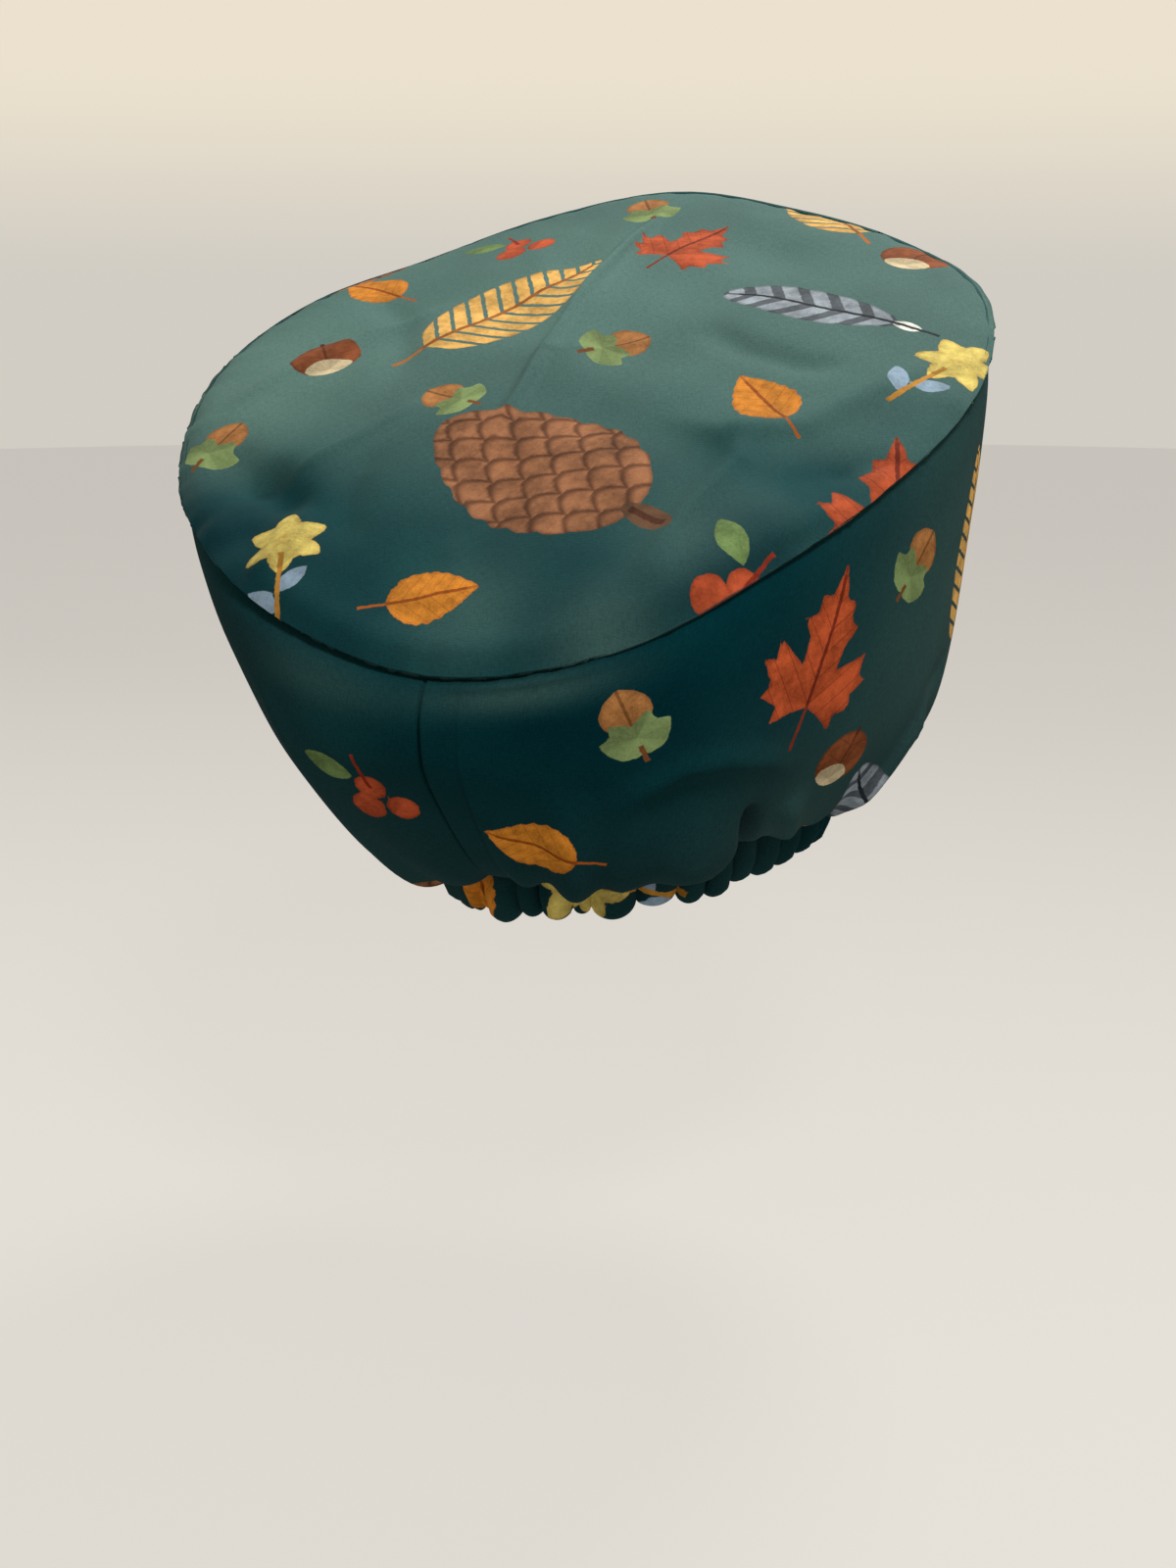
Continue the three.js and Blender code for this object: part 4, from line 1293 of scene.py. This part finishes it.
def printed_cotton(name, dark, light, strength, crumple, sheen, gloss):
    """Printed cotton: a ground with soft uneven tone, the inks over it, and the weave.

    strength: of the inks. crumple: height of the soft unevenness. sheen: of the nap. gloss: of the face.
    """
    material = bpy.data.materials.new(name)
    material.use_nodes = True
    tree = material.node_tree
    surface = tree.nodes["Principled BSDF"].inputs
    weave = lay_group(tree, weave_group)
    feed(weave.inputs["Cloth"], uv_place(tree, "cloth"))
    weave.inputs["Thread"].default_value = THREAD_HEIGHT
    weave.inputs["Crumple"].default_value = crumple
    soft = Measure(weave.outputs["Soft"])
    shade = Measure(weave.outputs["Shade"])
    ground = soft.ramp(*TONE_FROM_TO).blend(opaque(dark), opaque(light))
    # Painted sheen and light, partly dust: the ground is made paler where the layer says
    dust_and_sheen_share = Measure(attribute(tree, "pale", "Fac")) * ((soft - 0.5) * DUST_AND_SHEEN_UNEVEN + 1.0)
    ground = dust_and_sheen_share.blend(ground, opaque(GROUND_DUST_AND_SHEEN))
    inks = lay_group(tree, ink_group)
    feed(inks.inputs["Ground"], toned(ground, (shade - 0.5) * WEAVE_SHADE + 1.0))
    feed(inks.inputs["Print"], uv_place(tree, "print"))
    for slot, layer, output in (
        ("Outline", "outline", "Fac"), ("Second", "second", "Fac"), ("Ink", "ink", "Color"),
        ("Ink Two", "ink_two", "Color"), ("Ink Line", "ink_line", "Color"), ("Strokes", "strokes", "Color"),
        ("Cut", "strokes", "Alpha"), ("Stalk", "stalk", "Color"), ("Crossed", "stalk", "Alpha"),
    ):
        feed(inks.inputs[slot], attribute(tree, layer, output))
    inks.inputs["Strength"].default_value = strength
    feed(surface["Base Color"], inks.outputs["Color"])
    feed(surface["Roughness"], shade * ROUGH_UNEVEN + ROUGH_LEAST)
    bump = tree.nodes.new("ShaderNodeBump")
    bump.inputs["Strength"].default_value = BUMP_STRENGTH
    bump.inputs["Distance"].default_value = BUMP_DISTANCE
    feed(bump.inputs["Height"], weave.outputs["Height"])
    feed(surface["Normal"], bump.outputs["Normal"])
    surface["Sheen Weight"].default_value = sheen
    surface["Sheen Roughness"].default_value = SHEEN_ROUGHNESS
    surface["Sheen Tint"].default_value = SHEEN_TINT
    surface["Specular IOR Level"].default_value = gloss
    return material


# Copies of one cotton that differ only for how light falls on each piece: painted light on the crown,
# painted shade on the band.
crown_cotton = printed_cotton(
    "crown_cotton", CROWN_DARK, CROWN_LIGHT, strength=1.0, crumple=0.5, sheen=0.03, gloss=0.08
)
band_cotton = printed_cotton(
    "band_cotton", BAND_DARK, BAND_LIGHT, strength=1.0, crumple=0.7, sheen=0.01, gloss=0.01
)
wrong_side = printed_cotton(
    "cotton_wrong_side", WRONG_DARK, WRONG_LIGHT, strength=0.35, crumple=0.5, sheen=0.02, gloss=0.05
)

# Pieces
every_column = np.arange(len(turns))
by_turn = np.argsort(turn_between(turns, 0))
at_nape = np.flatnonzero(np.abs(turn_between(turns[by_turn], 0)) <= CASING_ARC / 2)
nape_columns = by_turn[at_nape]
front_columns = np.concatenate([by_turn[at_nape[-1] :], by_turn[: at_nape[0] + 1]])

crown_motifs = placed_motifs("crown", CROWN_PRINT)
band_motifs = placed_motifs("band", BAND_PRINT)
casing_motifs = placed_motifs("casing", CASING_PRINT)
crown_pole = middle_point + OVAL_UP * crown_relief(np.zeros(1), np.zeros(1))[0]
crown_poles = np.array([crown_pole, crown_pole - OVAL_UP * CLOTH_THICK])

crown_cloth = cloth_shell(
    "crown_cloth", every_column, (0, SEAM_ROW), CLOTH_THICK, crown_motifs, CROWN_INK, crown_cotton,
    poles=crown_poles, sewn_row=-1,
)
band_cloth = cloth_shell(
    "band_cloth", every_column, (SEAM_ROW, CASING_ROW), CLOTH_THICK, band_motifs, BAND_INK, band_cotton,
    sewn_row=0,
)
ruffle = cloth_shell(
    "ruffle", nape_columns, (CASING_ROW, FOOT_ROW), HEM_THICK, casing_motifs, BAND_INK, band_cotton
)
hem_cloth = cloth_shell(
    "hem_cloth", front_columns, (CASING_ROW, FOOT_ROW), HEM_THICK, casing_motifs, BAND_INK, band_cotton
)

for piece, node in (
    (crown_cloth, "crown_panel"),
    (band_cloth, "side_band"),
    (ruffle, "back_casing"),
    (hem_cloth, "front_hem"),
):
    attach(piece, "root")
    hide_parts(node)

# Stage
floor_place = (0, 0, (CROWN_MIDDLE[2] - FLOOR_DROP) * MM)
bpy.ops.mesh.primitive_circle_add(
    vertices=FLOOR_CORNERS, radius=FLOOR_RADIUS, fill_type="NGON", location=floor_place
)
floor = bpy.context.object
floor.name = "floor"
floor_finish = bpy.data.materials.new("pale_floor")
floor_finish.use_nodes = True
paint = floor_finish.node_tree.nodes["Principled BSDF"].inputs
floor_nodes = floor_finish.node_tree.nodes
behind = parts_of(floor_nodes.new("ShaderNodeTexCoord").outputs["Object"])[1]
floor_seen = Measure(floor_nodes.new("ShaderNodeLightPath").outputs["Is Camera Ray"])
glow = behind.ramp(*FLOOR_FROM_TO) * FLOOR_GLOW_MORE + FLOOR_GLOW
feed(paint["Emission Strength"], glow * (floor_seen * (1 - FLOOR_LIGHT) + FLOOR_LIGHT))
paint["Base Color"].default_value = FLOOR_COLOUR
paint["Emission Color"].default_value = FLOOR_GLOW_COLOUR
paint["Roughness"].default_value = FLOOR_ROUGHNESS
floor.data.materials.append(floor_finish)

world = bpy.data.worlds.new("pale_room")
world.use_nodes = True
room = world.node_tree.nodes
backdrop = room["Background"].inputs
height = parts_of(room.new("ShaderNodeTexCoord").outputs["Generated"])[2]
feed(backdrop["Color"], height.ramp(*WALL_FROM_TO).blend(opaque(WALL_LOW), opaque(WALL_HIGH)))
seen = Measure(room.new("ShaderNodeLightPath").outputs["Is Camera Ray"])
feed(backdrop["Strength"], seen * (ROOM_SEEN - ROOM_LIGHT) + ROOM_LIGHT)
bpy.context.scene.world = world

for name, (place, aim, width, power, colour) in LIGHTS.items():
    lamp_data = bpy.data.lights.new(name, "AREA")
    lamp_data.shape = "DISK"
    lamp_data.size = width
    lamp_data.energy = power
    lamp_data.color = colour
    lamp = bpy.data.objects.new(name, lamp_data)
    lamp.location = place
    lamp.rotation_euler = (Vector(aim) - Vector(place)).to_track_quat("-Z", "Y").to_euler()
    lamp.visible_camera = False
    bpy.context.scene.collection.objects.link(lamp)

# Camera
view_data = bpy.data.cameras.new("view")
view_data.lens = VIEW_LENS
view_data.sensor_width = VIEW_SENSOR
view = bpy.data.objects.new("view", view_data)
view.location = (Vector(VIEW_PLACE) + Vector((0, 0, CROWN_MIDDLE[2]))) * MM
look = Vector((
    math.sin(LOOK_TURN) * math.cos(LOOK_DOWN),
    -math.cos(LOOK_TURN) * math.cos(LOOK_DOWN),
    -math.sin(LOOK_DOWN),
))
view.rotation_euler = look.to_track_quat("-Z", "Y").to_euler()
bpy.context.scene.collection.objects.link(view)
bpy.context.scene.camera = view
bpy.context.scene.view_settings.view_transform = "Standard"
